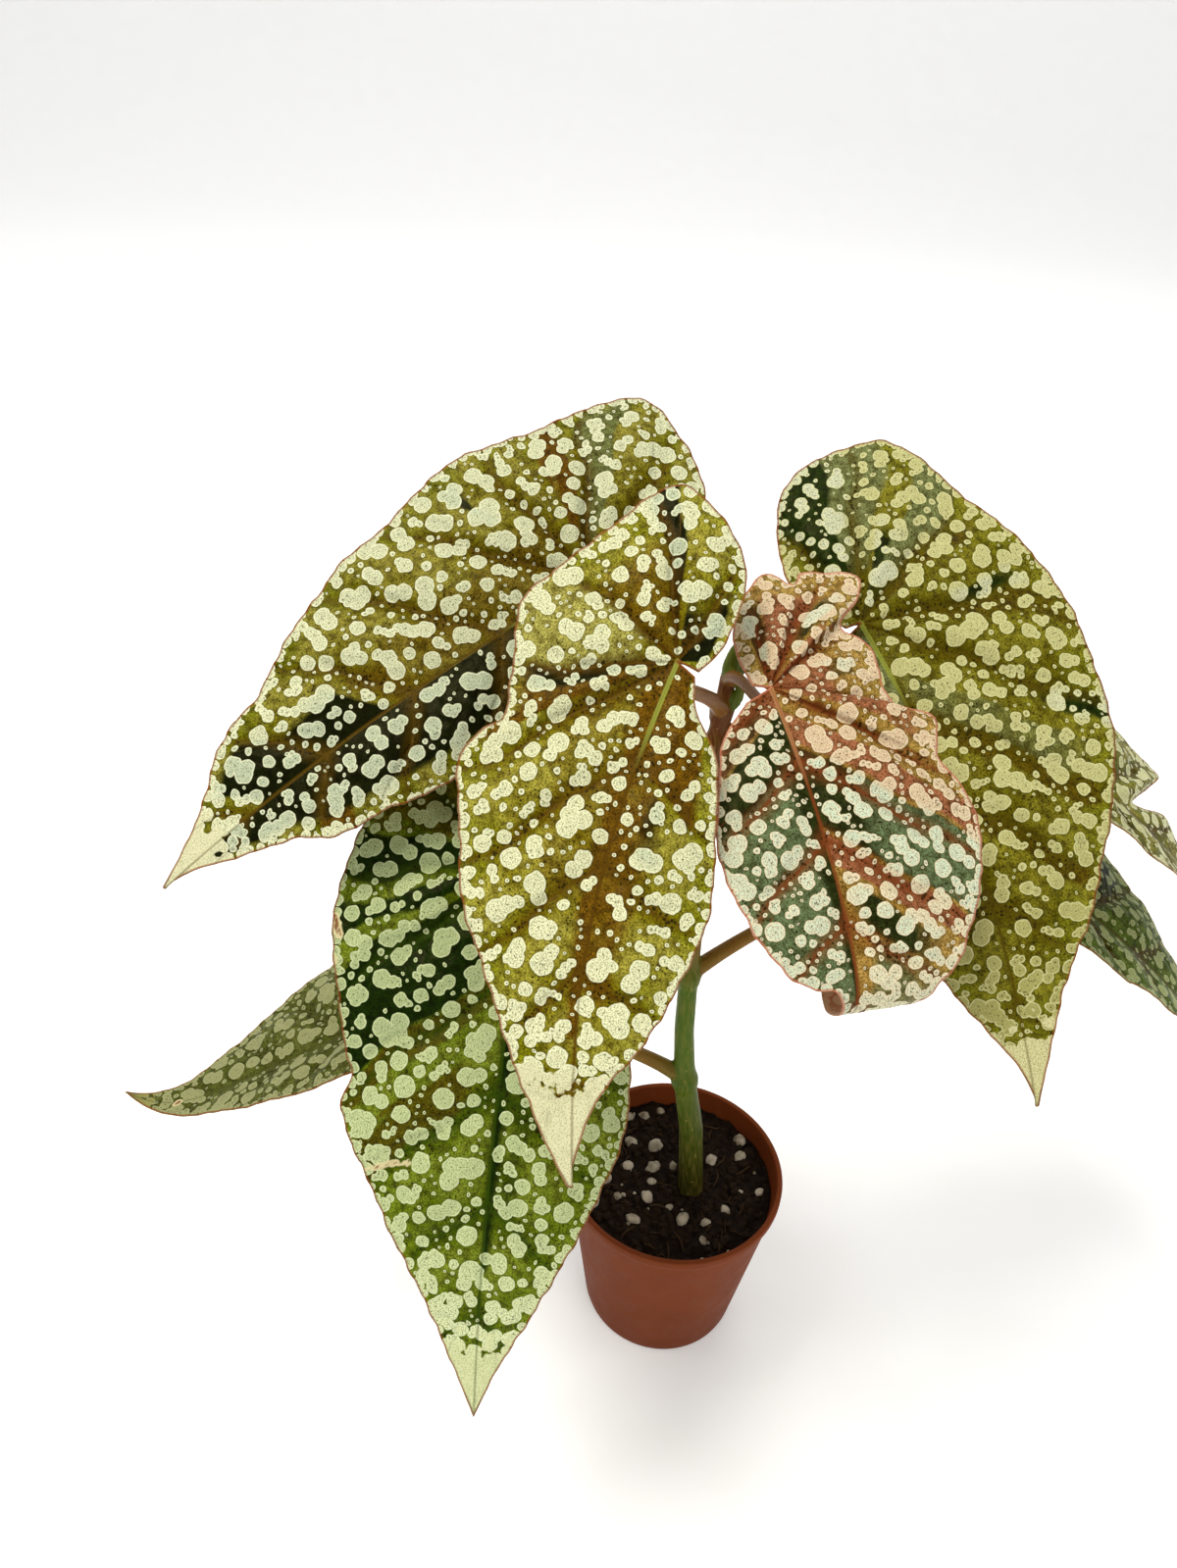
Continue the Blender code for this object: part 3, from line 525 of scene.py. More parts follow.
EVEN_WIDE: Pairs = (
    (0, -4), (-8, -8), (-16, -8), (-25, -5), (-31, 2), (-34, 12), (-32, 24), (-20, 31), (-6, 34),
    (10, 36), (28, 33), (44, 29), (60, 22), (75, 14), (88, 7), (102, 0))
EVEN_NARROW: Pairs = (
    (2, 4), (8, 10), (15, 14), (25, 17), (38, 18), (50, 17), (64, 13), (78, 8), (90, 4), (102, 0))
FRONT_WIDE: Pairs = (
    (1, -4), (-4, -7), (-11, -8.5), (-19, -8.5), (-26, -4), (-33, 7), (-22, 17), (-13, 24),
    (-5, 29), (4, 28), (15, 27), (18, 30), (24, 33), (34, 30.5), (47, 27), (61, 19), (72, 13),
    (83, 6), (90, 1))
FRONT_NARROW: Pairs = ((2, 3.5), (8, 5), (15, 10), (25, 12), (40, 14), (51, 12), (63, 8), (75, 1.5), (90, -1))
UPPER_LEFT_WIDE: Pairs = (
    (0, -4), (-6, -8), (-13, -9), (-20, -8), (-26, -4), (-31, 2), (-34.5, 13), (-33.5, 26),
    (-20, 31), (-8, 32.5), (4, 36), (11, 35.5), (28, 32), (40, 30), (59, 22), (65, 18.5),
    (76, 15.5), (86, 8), (93, 4), (101, 0.5))
UPPER_LEFT_NARROW: Pairs = (
    (2, 4), (8, 10), (15, 14), (25, 16), (35, 17), (48, 17), (58, 14.5), (68, 13),
    (75, 8.5), (87, 4), (94, 1), (101, -0.5))
LOWER_LEFT_WIDE: Pairs = (
    (0, -4), (-8, -8), (-16, -8), (-24, -5), (-30, 1), (-33, 10), (-30, 20), (-22, 27),
    (-12, 31), (4, 36), (14, 37), (26, 35), (38, 31.5), (44, 29.5), (50, 31), (60, 26),
    (69, 21), (86, 11), (97, 5.5), (109, 0))
LOWER_LEFT_NARROW: Pairs = (
    (2, 4), (8, 10), (16, 16), (26, 21), (38, 24), (50, 24), (63, 20), (75, 15), (88, 9),
    (98, 4), (109, 0))
YOUNG_WIDE: Pairs = (
    (-1, -3), (-8, -4), (-15, -2.5), (-20, 1), (-24, 6.5), (-20.5, 11), (-23, 14), (-20.5, 23.5),
    (-15, 22), (-10, 17), (-5, 21), (3, 20.5), (8, 22), (11, 28), (19, 26), (24, 28.5),
    (33, 29.5), (43, 26), (52, 21), (58, 15), (63, 9), (68, 4), (73, 0))
YOUNG_NARROW: Pairs = (
    (2, 5), (8, 11), (16, 14), (26, 17), (34, 16.8), (44, 14), (51, 10), (54, 6), (55, 2.5),
    (60, 1.5), (66, 2), (73, 0))
RIGHT_WIDE: Pairs = (
    (0, -3), (-6, -7.5), (-14, -10), (-24, -8.5), (-33, -4), (-37.5, 4), (-38, 16), (-34, 22),
    (-20, 29), (-5, 36), (6, 39), (20, 39), (36, 37), (49, 31), (64, 22), (77, 12), (87, 6),
    (97, 0.5))
RIGHT_NARROW: Pairs = (
    (2, 4), (8, 8), (16, 13), (27, 16), (38, 17), (50, 15), (60, 13), (72, 8.5), (80, 5),
    (89, 1), (97, -0.5))
NOTCHED_WIDE: Pairs = EVEN_WIDE[:11] + (
    (40, 29), (52, 27), (66, 27), (63, 19), (58, 11), (55, 6), (60, 8),
    (69, 13), (75, 9), (88, 5), (102, 0))

STIFF_BEND: Pairs = ((-40, -14), (0, -8), (50, 0), (100, 14))
LOOSE_BEND: Pairs = ((-40, -12), (0, -5), (50, 0), (90, 16), (102, 30))
HOOKED_BEND: Pairs = ((-40, -8), (0, -2), (50, 2), (76, -2), (84, -20), (97, -75))
CURLED_BEND: Pairs = ((-30, -14), (0, -8), (30, 0), (50, 8), (56, 30), (62, 95), (70, 150))


@dataclass(frozen=True)
class Zone:
    """Stretch of a blade between two veins with a tone of its own, a painted sheen or a painted fold shadow.

    The veins are counted from the notch round the back lobe to the tip, and shares run from the midrib to
    the margin.
    """

    half: Half
    veins: tuple[float, float]
    shares: tuple[float, float]
    tone: Tone
    strength: float = 1.0

    VEIN_SOFTNESS = 0.07
    SHARE_SOFTNESS = 0.16

    def weight(self, veins: np.ndarray, shares: np.ndarray) -> np.ndarray:
        """Finds how strongly the zone covers points.

        Args:
            veins: Vein count of each point.
            shares: Share of the way to the margin of each point.

        Returns:
            Strength of the tone at each point.
        """
        soft, fade = self.VEIN_SOFTNESS, self.SHARE_SOFTNESS
        along = smooth_step(veins, self.veins[0] - soft, self.veins[0] + soft)
        along = along * (1 - smooth_step(veins, self.veins[1] - soft, self.veins[1] + soft))
        out = smooth_step(shares, self.shares[0] - fade, self.shares[0] + fade)
        out = out * (1 - smooth_step(shares, self.shares[1] - fade, self.shares[1] + fade))
        return along * out * self.strength


@dataclass(frozen=True)
class Scar:
    """Healed tear or scrape between two spots of the flattened blade, lengths in millimetres."""

    start: tuple[float, float]
    end: tuple[float, float]
    half_width: float = 0.1


@dataclass(frozen=True)
class SpotKind:
    """One size class of spots on a blade, lengths in millimetres."""

    tries: int
    radius: tuple[float, float]
    gap: float
    vein_room: float
    links: int = 0


SPOT_KINDS = (
    SpotKind(tries=330, radius=(1.2, 1.95), gap=0.6, vein_room=1.0, links=6),
    SpotKind(tries=480, radius=(0.8, 1.2), gap=0.5, vein_room=0.8, links=4),
    SpotKind(tries=420, radius=(0.45, 0.75), gap=0.4, vein_room=0.6),
    SpotKind(tries=900, radius=(0.26, 0.42), gap=0.4, vein_room=0.0),
)


@dataclass
class HalfGrid:
    """Fine net of points over one half of a blade: rows are lines from the midrib, columns go outwards."""

    half: Half
    x: np.ndarray
    y: np.ndarray
    share: np.ndarray
    veins: np.ndarray
    rib: np.ndarray
    reach: np.ndarray
    vein_gap: np.ndarray = field(default=None)
    fork_gap: np.ndarray = field(default=None)
    inset: np.ndarray = field(default=None)


@dataclass
class LeafBlade:
    """One blade: where it joins its stalk, how it lies and bends, its outline, tones and spots."""

    node: str
    joint: Triple
    heading: float
    dip: float
    roll: float
    wide_side: Side
    wide: Pairs
    narrow: Pairs
    skin: BladeSkin
    slot: str = "leaf_blade"
    node_height: float = 0.0
    stalk: float = 1.5
    bend: Pairs = STIFF_BEND
    left_fold: tuple[float, float] = (0, 0)
    right_fold: tuple[float, float] = (0, 0)
    bow: float = 1.0
    size: float = 1.0
    tip_start: float = 86.0
    zones: tuple[Zone, ...] = ()
    scars: tuple[Scar, ...] = ()
    seed: int = 1
    spot_scale: float = 1.0
    spot_crowding: float = 1.0
    tip_crowd: float = 14.0

    FAN_LINES_WIDE = 110
    FAN_LINES_NARROW = 30
    RIB_LINES = 120
    COLUMNS = 44
    THICKNESS = 0.5
    EDGE_THICKNESS = 0.26
    MARGIN_WAVE = 0.13
    VEIN_WAVER = 0.08
    QUILT_HEIGHT = 0.26
    UNDER_RIB_HEIGHT = 0.8
    UNDER_VEIN_HEIGHT = 0.4
    TIP_SPOTS_PER_MM2 = 0.14
    STRAY_CHANCE = 0.1
    RIB_ROOM = 0.35

    def __post_init__(self) -> None:
        """Works out the blade's axes and the run of its bent midrib."""
        heading, dip, roll = (math.radians(a) for a in (self.heading, self.dip, self.roll))
        level_ahead = np.array([math.sin(heading), math.cos(heading), 0.0])
        left = np.array([-math.cos(heading), math.sin(heading), 0.0])
        self.ahead = level_ahead * math.cos(dip) - np.array([0, 0, math.sin(dip)])
        upper = np.cross(self.ahead, left)
        self.left = left * math.cos(roll) - upper * math.sin(roll)
        self.upper = upper * math.cos(roll) + left * math.sin(roll)
        self.wide = tuple((a * self.size, b * self.size) for a, b in self.wide)
        self.narrow = tuple((a * self.size, b * self.size) for a, b in self.narrow)
        self.length = self.wide[-1][0]
        self.run = np.linspace(-60.0, 130.0, 381)
        self.slope = np.radians(np.interp(self.run, *zip(*self.bend)))
        step = self.run[1] - self.run[0]
        level = np.cumsum(np.cos(self.slope)) * step
        down = np.cumsum(np.sin(self.slope)) * step
        self.level = level - np.interp(0.0, self.run, level)
        self.down = down - np.interp(0.0, self.run, down)

    def rib_offset(self, x: np.ndarray) -> np.ndarray:
        """Finds the sideways bow of the midrib at distances along it."""
        return self.wide_side.value * self.bow * np.sin(np.pi * np.clip(x / self.length, 0, 1))

    def point(self, x: np.ndarray, y: np.ndarray) -> np.ndarray:
        """Places spots of the flattened blade in space.

        Args:
            x: Distances along the midrib.
            y: Distances to its left.

        Returns:
            Points in millimetres.
        """
        slope = np.interp(x, self.run, self.slope)[..., None]
        normal = np.sin(slope) * self.ahead + np.cos(slope) * self.upper
        base = (np.array(self.joint) + np.interp(x, self.run, self.level)[..., None] * self.ahead
                - np.interp(x, self.run, self.down)[..., None] * self.upper)
        first = np.where(y > 0, self.left_fold[0], self.right_fold[0])
        last = np.where(y > 0, self.left_fold[1], self.right_fold[1])
        fade = np.interp(x, *zip(*FOLD_FADE))
        across = np.zeros_like(x)
        lift = np.zeros_like(x)
        for i in range(FOLD_STEPS):
            out = np.abs(y) * (i + 0.5) / FOLD_STEPS
            fold = first + (last - first) * np.minimum(out / FOLD_CHANGE_REACH, FOLD_CHANGE_LIMIT)
            tilt = np.radians(fold * fade * np.minimum(out / FOLD_START, 1))
            across = across + np.cos(tilt) * np.abs(y) / FOLD_STEPS
            lift = lift + np.sin(tilt) * np.abs(y) / FOLD_STEPS
        return base + self.left * np.copysign(across, y)[..., None] + normal * lift[..., None]

    def normal(self, x: np.ndarray, y: np.ndarray) -> np.ndarray:
        """Finds the upward normal of the blade at spots of the flattened blade."""
        step = 0.2
        along = self.point(x + step, y) - self.point(x - step, y)
        over = self.point(x, y + step) - self.point(x, y - step)
        normal = np.cross(along, over)
        return normal / np.linalg.norm(normal, axis=-1, keepdims=True)

    def half_grid(self, half: Half) -> HalfGrid:
        """Lays the fine net over one half of the flattened blade.

        Args:
            half: Which half.

        Returns:
            The net, with the place of each of its points.
        """
        wide = half is Half.WIDE
        side = self.wide_side.value if wide else -self.wide_side.value
        curve = smooth_curve(self.wide if wide else self.narrow, 24)
        root = np.maximum.accumulate(curve[:, 0] - VEIN_SLANT * np.abs(curve[:, 1]))
        past_fan = int(np.argmax(root > 0.0))
        fan_lines = self.FAN_LINES_WIDE if wide else self.FAN_LINES_NARROW
        fan = even_samples(curve[:past_fan + 1], fan_lines)
        fan_veins = np.linspace(0, FAN_VEINS, fan_lines + 1) if wide else np.linspace(-0.5, 0, fan_lines + 1)
        share = np.arange(1, self.RIB_LINES + 1) / self.RIB_LINES
        rib = self.length * (1 - (1 - share) ** STATION_CROWDING)
        x_margin = np.interp(rib, root[past_fan:], curve[past_fan:, 0])
        y_margin = np.interp(rib, root[past_fan:], curve[past_fan:, 1])
        ends = np.vstack([fan, np.stack([x_margin, y_margin], -1)]) * (1, side)
        starts = np.concatenate([np.zeros(fan_lines + 1), rib])
        veins = np.concatenate([fan_veins, fan_veins[-1] + VEINS_ALONG_RIB * rib / self.length])
        ends[-1] = (self.length, 0.0)
        ends = self.ripple_margin(ends, starts)
        columns = np.linspace(0, 1, self.COLUMNS + 1)
        origin = np.stack([starts, self.rib_offset(starts)], -1)
        net = origin[:, None] + (ends - origin)[:, None] * columns[None, :, None]
        reach = np.linalg.norm(ends - origin, axis=1)[:, None] * columns
        waver = self.VEIN_WAVER * np.sin(0.28 * reach + 1.9 * np.round(veins)[:, None] + self.seed)
        waver = waver * columns * np.clip(veins, 0, 1)[:, None]
        grid = HalfGrid(half, net[..., 0], net[..., 1], np.broadcast_to(columns, net.shape[:2]).copy(),
                        veins[:, None] + waver,
                        np.broadcast_to(starts[:, None], net.shape[:2]).copy(),
                        np.broadcast_to(np.linalg.norm(ends - origin, axis=1)[:, None], net.shape[:2]).copy())
        self.measure_gaps(grid)
        return grid

    def ripple_margin(self, ends: np.ndarray, starts: np.ndarray) -> np.ndarray:
        """Gives the margin the small irregular scallops of a grown leaf.

        Args:
            ends: Margin ends of the net's lines.
            starts: Midrib distances of the same lines.

        Returns:
            The margin ends, moved in or out along their lines.
        """
        run = np.concatenate([[0], np.cumsum(np.linalg.norm(np.diff(ends, axis=0), axis=1))])
        wave = (np.sin(run * 1.3 + self.seed) + 0.9 * np.sin(run * 0.71 + 2 * self.seed)
                + 0.25 * np.sin(run * 3.1 + 3 * self.seed))
        origin = np.stack([starts, self.rib_offset(starts)], -1)
        out = ends - origin
        length = np.linalg.norm(out, axis=1, keepdims=True)
        room = np.clip(length / 12, 0, 1)
        return ends + out / np.maximum(length, 0.01) * (wave[:, None] - 1.0) * self.MARGIN_WAVE * room

    def measure_gaps(self, grid: HalfGrid) -> None:
        """Measures each point's distance to the main veins, to their forks and to the margin."""
        net = np.stack([grid.x, grid.y], -1)
        outward = net[:, -1] - net[:, 0]
        outward = outward / np.maximum(np.linalg.norm(outward, axis=1, keepdims=True), 1e-6)
        step = np.gradient(net, axis=0)
        step = step - np.sum(step * outward[:, None], -1, keepdims=True) * outward[:, None]
        vein_step = np.gradient(grid.veins, axis=0)
        mm_per_vein = np.linalg.norm(step, axis=-1) / np.maximum(vein_step, 1e-4)
        off_vein = np.abs(grid.veins - np.round(grid.veins))
        lowest = 0.6 if grid.half is Half.WIDE else -0.4
        grid.vein_gap = np.where(grid.veins < lowest, 9.0, off_vein * mm_per_vein / (1.15 - 0.7 * grid.share))
        spread = 0.27 * smooth_step(grid.share, 0.42, 1.05)
        fork = np.abs(off_vein - spread) * mm_per_vein
        grid.fork_gap = np.where((grid.share < 0.42) | (grid.veins < lowest), 9.0, fork)
        margin = net[:, -1]
        if grid.half is Half.WIDE or grid.half is Half.NARROW:
            margin = np.vstack([net[0], margin])
        flat = net.reshape(-1, 2)
        inset = np.full(len(flat), 99.0)
        for start, end in zip(margin[:-1], margin[1:]):
            along = end - start
            share = np.clip((flat - start) @ along / max(along @ along, 1e-9), 0, 1)
            inset = np.minimum(inset, np.linalg.norm(flat - start - share[:, None] * along, axis=1))
        grid.inset = inset.reshape(grid.x.shape)

    def lift(self, grid: HalfGrid) -> np.ndarray:
        """Finds how far the pleats, the quilting and the wavy margin raise the blade at each point."""
        dome = np.abs(np.sin(np.pi * grid.veins)) ** 0.8
        if grid.half is Half.NARROW:
            dome = np.where(grid.veins < 0, 0.0, dome)
        width = np.clip((grid.reach - PLEAT_START) / PLEAT_RAMP, 0, 1)
        lift = PLEAT_HEIGHT * dome * width * np.sin(np.pi * np.minimum(grid.share, PLEAT_PEAK_TO_MARGIN))
        quilt = np.sin(grid.x * 1.35 + 0.8 * np.sin(grid.y * 0.9)) * np.sin(grid.y * 1.15 + np.sin(grid.x * 0.7))
        edge_fade = np.clip(grid.share * (1 - grid.share) * 4, 0, 1) * np.clip(grid.reach / 20, 0, 1)
        waves = 0.3 * np.sin(grid.x * 0.33 + self.seed) * smooth_step(grid.share, 0.7, 1.0)
        return lift + self.QUILT_HEIGHT * quilt * edge_fade + waves * np.clip(grid.reach / 25, 0, 1)

    def build(self) -> bpy.types.Object:
        """Builds the blade's closed mesh with all that its finish reads.

        Returns:
            The finished blade.
        """
        grids = [self.half_grid(Half.WIDE), self.half_grid(Half.NARROW)]
        columns = self.COLUMNS + 1
        index: list[np.ndarray] = []
        used: list[tuple[int, int, int]] = []
        rib_ids: dict[float, int] = {}
        for g, grid in enumerate(grids):
            ids = np.zeros(grid.x.shape, int)
            for i in range(len(grid.x)):
                start = round(float(grid.rib[i, 0]), 4)
                if start not in rib_ids:
                    rib_ids[start] = len(used)
                    used.append((g, i, 0))
                ids[i, 0] = rib_ids[start]
                if i == len(grid.x) - 1:
                    ids[i, :] = rib_ids[start]
                    continue
                ids[i, 1:] = np.arange(len(used), len(used) + columns - 1)
                used.extend((g, i, k) for k in range(1, columns))
            index.append(ids)
        pick = np.array(used)
        fields = {name: np.array([getattr(grids[g], name)[i, k] for g, i, k in used])
                  for name in ("x", "y", "share", "veins", "vein_gap", "fork_gap", "inset", "reach")}
        lifts = [self.lift(grid) for grid in grids]
        lift = np.array([lifts[g][i, k] for g, i, k in used])
        wide_half = pick[:, 0] == 0
        rib_gap = self.rib_gap(fields["x"], fields["y"])
        middle = self.point(fields["x"], fields["y"])
        normal = self.normal(fields["x"], fields["y"])
        thickness = np.interp(fields["inset"], (0, 3), (self.EDGE_THICKNESS, self.THICKNESS)) / 2
        taper = np.clip(1 - fields["x"] / self.length, 0, 1)
        keel = self.UNDER_RIB_HEIGHT * np.exp(-(rib_gap / 0.7) ** 2) * (0.15 + 0.85 * taper)
        side_ribs = self.UNDER_VEIN_HEIGHT * np.exp(-(fields["vein_gap"] / 0.55) ** 2) * (1 - fields["share"])
        ridge = 0.28 * np.exp(-(rib_gap / 0.45) ** 2) * smooth_step(-fields["x"], -30, -12)
        top = middle + normal * (lift + thickness + ridge)[:, None]
        below = middle + normal * (lift - thickness - np.maximum(keel, side_ribs))[:, None]
        count = len(used)
        faces = []
        for ids, grid in zip(index, grids):
            quads = np.stack([ids[:-1, :-1], ids[:-1, 1:], ids[1:, 1:], ids[1:, :-1]], -1).reshape(-1, 4)
            for quad in quads.tolist():
                corners = list(dict.fromkeys(quad))
                if len(corners) > 2:
                    faces.append(corners)
        top_faces = len(faces)
        faces += [[c + count for c in reversed(face)] for face in faces[:top_faces]]
        loop = list(index[0][0]) + list(index[0][1:, -1]) + list(index[1][::-1, -1][1:])
        loop += list(index[1][0][::-1][1:])
        loop = [a for a, b in zip(loop, loop[1:] + loop[:1]) if a != b]
        for a, b in zip(loop, loop[1:] + loop[:1]):
            faces.append([int(a), int(b), int(b) + count, int(a) + count])
        blade = add_mesh("blade_" + self.node.removeprefix("leaf_"), np.vstack([top, below]), faces)
        smooth = np.ones(len(faces), bool)
        smooth[2 * top_faces:] = False
        blade.data.polygons.foreach_set("use_smooth", smooth)
        tip_reach = fields["x"] - self.tip_start
        zones = self.zone_weights(fields["veins"], fields["share"], wide_half)
        green_rib = smooth_step(-fields["x"], -26, -8) * np.clip(1.25 - rib_gap / 0.5, 0, 1)
        both = {
            "leaf_plane": np.stack([fields["x"], fields["y"], fields["inset"]], -1),
            "vein_lines": np.stack([fields["vein_gap"], fields["fork_gap"], rib_gap], -1),
            "tone_zones": zones,
            "blade_facts": np.stack([np.zeros(count), tip_reach, green_rib], -1),
        }
        for name, rows in both.items():
            doubled = np.vstack([rows, rows])
            if name == "blade_facts":
                doubled[count:, 0] = 1.0
            attribute = blade.data.attributes.new(name, "FLOAT_VECTOR", "POINT")
            attribute.data.foreach_set("vector", doubled.astype(np.float32).ravel())
        scar_gap = blade.data.attributes.new("scar_gap", "FLOAT", "POINT")
        scar_gap.data.foreach_set("value", np.tile(self.scar_gap(fields["x"], fields["y"]), 2).astype(np.float32))
        self.store_spots(blade.data, np.vstack([both["leaf_plane"]] * 2)[:, :2], self.scatter_spots(grids))
        blade.data.materials.append(self.skin.build())
        return blade

    def rib_gap(self, x: np.ndarray, y: np.ndarray) -> np.ndarray:
        """Measures distances to the midrib."""
        beside = np.abs(y - self.rib_offset(x))
        return np.where(x > 0, beside, np.hypot(x, y))

    def scar_gap(self, x: np.ndarray, y: np.ndarray) -> np.ndarray:
        """Measures distances to the lips of the nearest scar."""
        gap = np.full(len(x), 99.0)
        for scar in self.scars:
            along = np.subtract(scar.end, scar.start)
            spots = np.stack([x, y], -1) - scar.start
            share = np.clip(spots @ along / (along @ along), 0, 1)
            gap = np.minimum(gap, np.linalg.norm(spots - share[:, None] * along, axis=1) - scar.half_width)
        return gap

    def zone_weights(self, veins: np.ndarray, shares: np.ndarray, wide_half: np.ndarray) -> np.ndarray:
        """Adds up the tone zones over the blade's points.

        Args:
            veins: Vein count of each point.
            shares: Share of the way to the margin of each point.
            wide_half: Whether each point is on the wide half.

        Returns:
            Strength of each tone, one column a tone.
        """
        weights = np.zeros((len(veins), len(Tone)))
        for zone in self.zones:
            on_half = wide_half if zone.half is Half.WIDE else ~wide_half
            column = zone.tone.value
            weights[:, column] = np.maximum(weights[:, column], zone.weight(veins, shares) * on_half)
        return weights

    def scatter_spots(self, grids: list[HalfGrid]) -> np.ndarray:
        """Scatters the spots: chains and singles between the veins, then a beaded line along the margin.

        Args:
            grids: Nets of both halves.

        Returns:
            One row of x, y and radius for each spot, on the flattened blade.
        """
        draw = np.random.default_rng(self.seed)
        cells = []
        for grid in grids:
            net = np.stack([grid.x, grid.y], -1)
            area = np.abs(np.cross(net[1:, 1:] - net[:-1, :-1], net[:-1, 1:] - net[1:, :-1])) / 2
            centre = (net[1:, 1:] + net[:-1, :-1]) / 2
            outward = net[:-1, 1:] - net[:-1, :-1]
            angle = np.arctan2(outward[..., 1], outward[..., 0])
            cells.append(np.stack([centre[..., 0], centre[..., 1], area, grid.vein_gap[:-1, 1:],
                                   grid.inset[:-1, 1:], angle, self.rib_gap(centre[..., 0], centre[..., 1])],
                                  -1).reshape(-1, 7))
        cells = np.vstack(cells)
        chance = cells[:, 2] / cells[:, 2].sum()
        area_share = cells[:, 2].sum() / 3600.0
        spots = np.zeros((4000, 3))
        count = 0

        def fits(x: float, y: float, radius: float, kind: SpotKind, chain: list[int]) -> bool:
            """Tells whether a spot has room on the blade and among the others."""
            cell = cells[np.argmin((cells[:, 0] - x) ** 2 + (cells[:, 1] - y) ** 2)]
            if math.hypot(cell[0] - x, cell[1] - y) > 1.2 or cell[4] < radius + 0.15:
                return False
            if cell[3] < radius * kind.vein_room and draw.random() > self.STRAY_CHANCE:
                return False
            if cell[6] < radius + self.RIB_ROOM and x < 0.8 * self.length:
                return False
            near = np.hypot(spots[:count, 0] - x, spots[:count, 1] - y) - spots[:count, 2] - radius
            near[chain] = 9.0
            return count == 0 or near.min() > kind.gap / self.spot_crowding

        for kind in SPOT_KINDS:
            for pick in draw.choice(len(cells), int(kind.tries * area_share * self.spot_crowding), p=chance):
                x, y, heading = cells[pick, 0], cells[pick, 1], cells[pick, 5]
                radius = draw.uniform(*kind.radius) * self.spot_scale
                if not fits(x, y, radius, kind, []):
                    continue
                spots[count] = x, y, radius
                chain = [count]
                count += 1
                for _ in range(draw.integers(0, kind.links + 1)):
                    last = spots[chain[-1]]
                    turn = heading + math.pi * draw.integers(0, 2) + draw.normal(0, 0.7)
                    radius = draw.uniform(0.6, 1.05) * last[2]
                    step = (last[2] + radius) * draw.uniform(0.55, 0.88)
                    x, y = last[0] + step * math.cos(turn), last[1] + step * math.sin(turn)
                    if fits(x, y, radius, kind, chain):
                        spots[count] = x, y, radius
                        chain.append(count)
                        count += 1
        near_tip = cells[(cells[:, 0] > self.tip_start - self.tip_crowd) & (cells[:, 4] > 0.8)]
        crowd = int(near_tip[:, 2].sum() * self.TIP_SPOTS_PER_MM2)
        for pick in draw.choice(len(near_tip), crowd, p=near_tip[:, 2] / near_tip[:, 2].sum()):
            x, y = near_tip[pick, :2]
            if draw.random() < (x - self.tip_start + self.tip_crowd) / self.tip_crowd:
                spots[count] = x, y, draw.uniform(0.7, 1.6)
                count += 1
        for grid in grids:
            margin = np.stack([grid.x[:, -1], grid.y[:, -1]], -1)
            run = np.concatenate([[0], np.cumsum(np.linalg.norm(np.diff(margin, axis=0), axis=1))])
            inward = np.stack([grid.x[:, 0], grid.y[:, 0]], -1) - margin
            inward /= np.maximum(np.linalg.norm(inward, axis=1, keepdims=True), 1e-6)
            at = draw.uniform(0.5, 2)
            while at < run[-1]:
                radius = draw.uniform(0.55, 1.35)
                sunk = radius * draw.uniform(0.1, 0.9)
                x, y = (np.interp(at, run, margin[:, k]) + sunk * np.interp(at, run, inward[:, k]) for k in (0, 1))
                spots[count] = x, y, radius
                count += 1
                at += radius * draw.uniform(1.3, 3.2)
        return spots[:count]

    def store_spots(self, mesh: bpy.types.Mesh, plane: np.ndarray, spots: np.ndarray) -> None:
        """Stores on every face corner the way to the spots nearest its face, with their radii.

        Args:
            mesh: Mesh of the blade.
            plane: Place of each vertex on the flattened blade.
            spots: Place and radius of each spot.
        """
        corners = np.zeros(len(mesh.loops), np.int32)
        mesh.loops.foreach_get("vertex_index", corners)
        totals = np.zeros(len(mesh.polygons), np.int32)
        mesh.polygons.foreach_get("loop_total", totals)
        face_of = np.repeat(np.arange(len(totals)), totals)
        places = plane[corners]
        centres = np.stack([np.bincount(face_of, places[:, k], len(totals)) / totals for k in (0, 1)], -1)
        nearest = np.zeros((len(centres), SPOT_SLOTS), int)
        for start in range(0, len(centres), 4000):
            block = centres[start:start + 4000]
            gap = np.hypot(block[:, None, 0] - spots[None, :, 0], block[:, None, 1] - spots[None, :, 1])
            gap -= spots[None, :, 2]
            nearest[start:start + 4000] = np.argpartition(gap, SPOT_SLOTS, axis=1)[:, :SPOT_SLOTS]
        for slot in range(SPOT_SLOTS):
            chosen = spots[nearest[:, slot]][face_of]
            rows = np.column_stack([places - chosen[:, :2], chosen[:, 2]])
            attribute = mesh.attributes.new(f"spot_{slot}", "FLOAT_VECTOR", "CORNER")
            attribute.data.foreach_set("vector", rows.astype(np.float32).ravel())
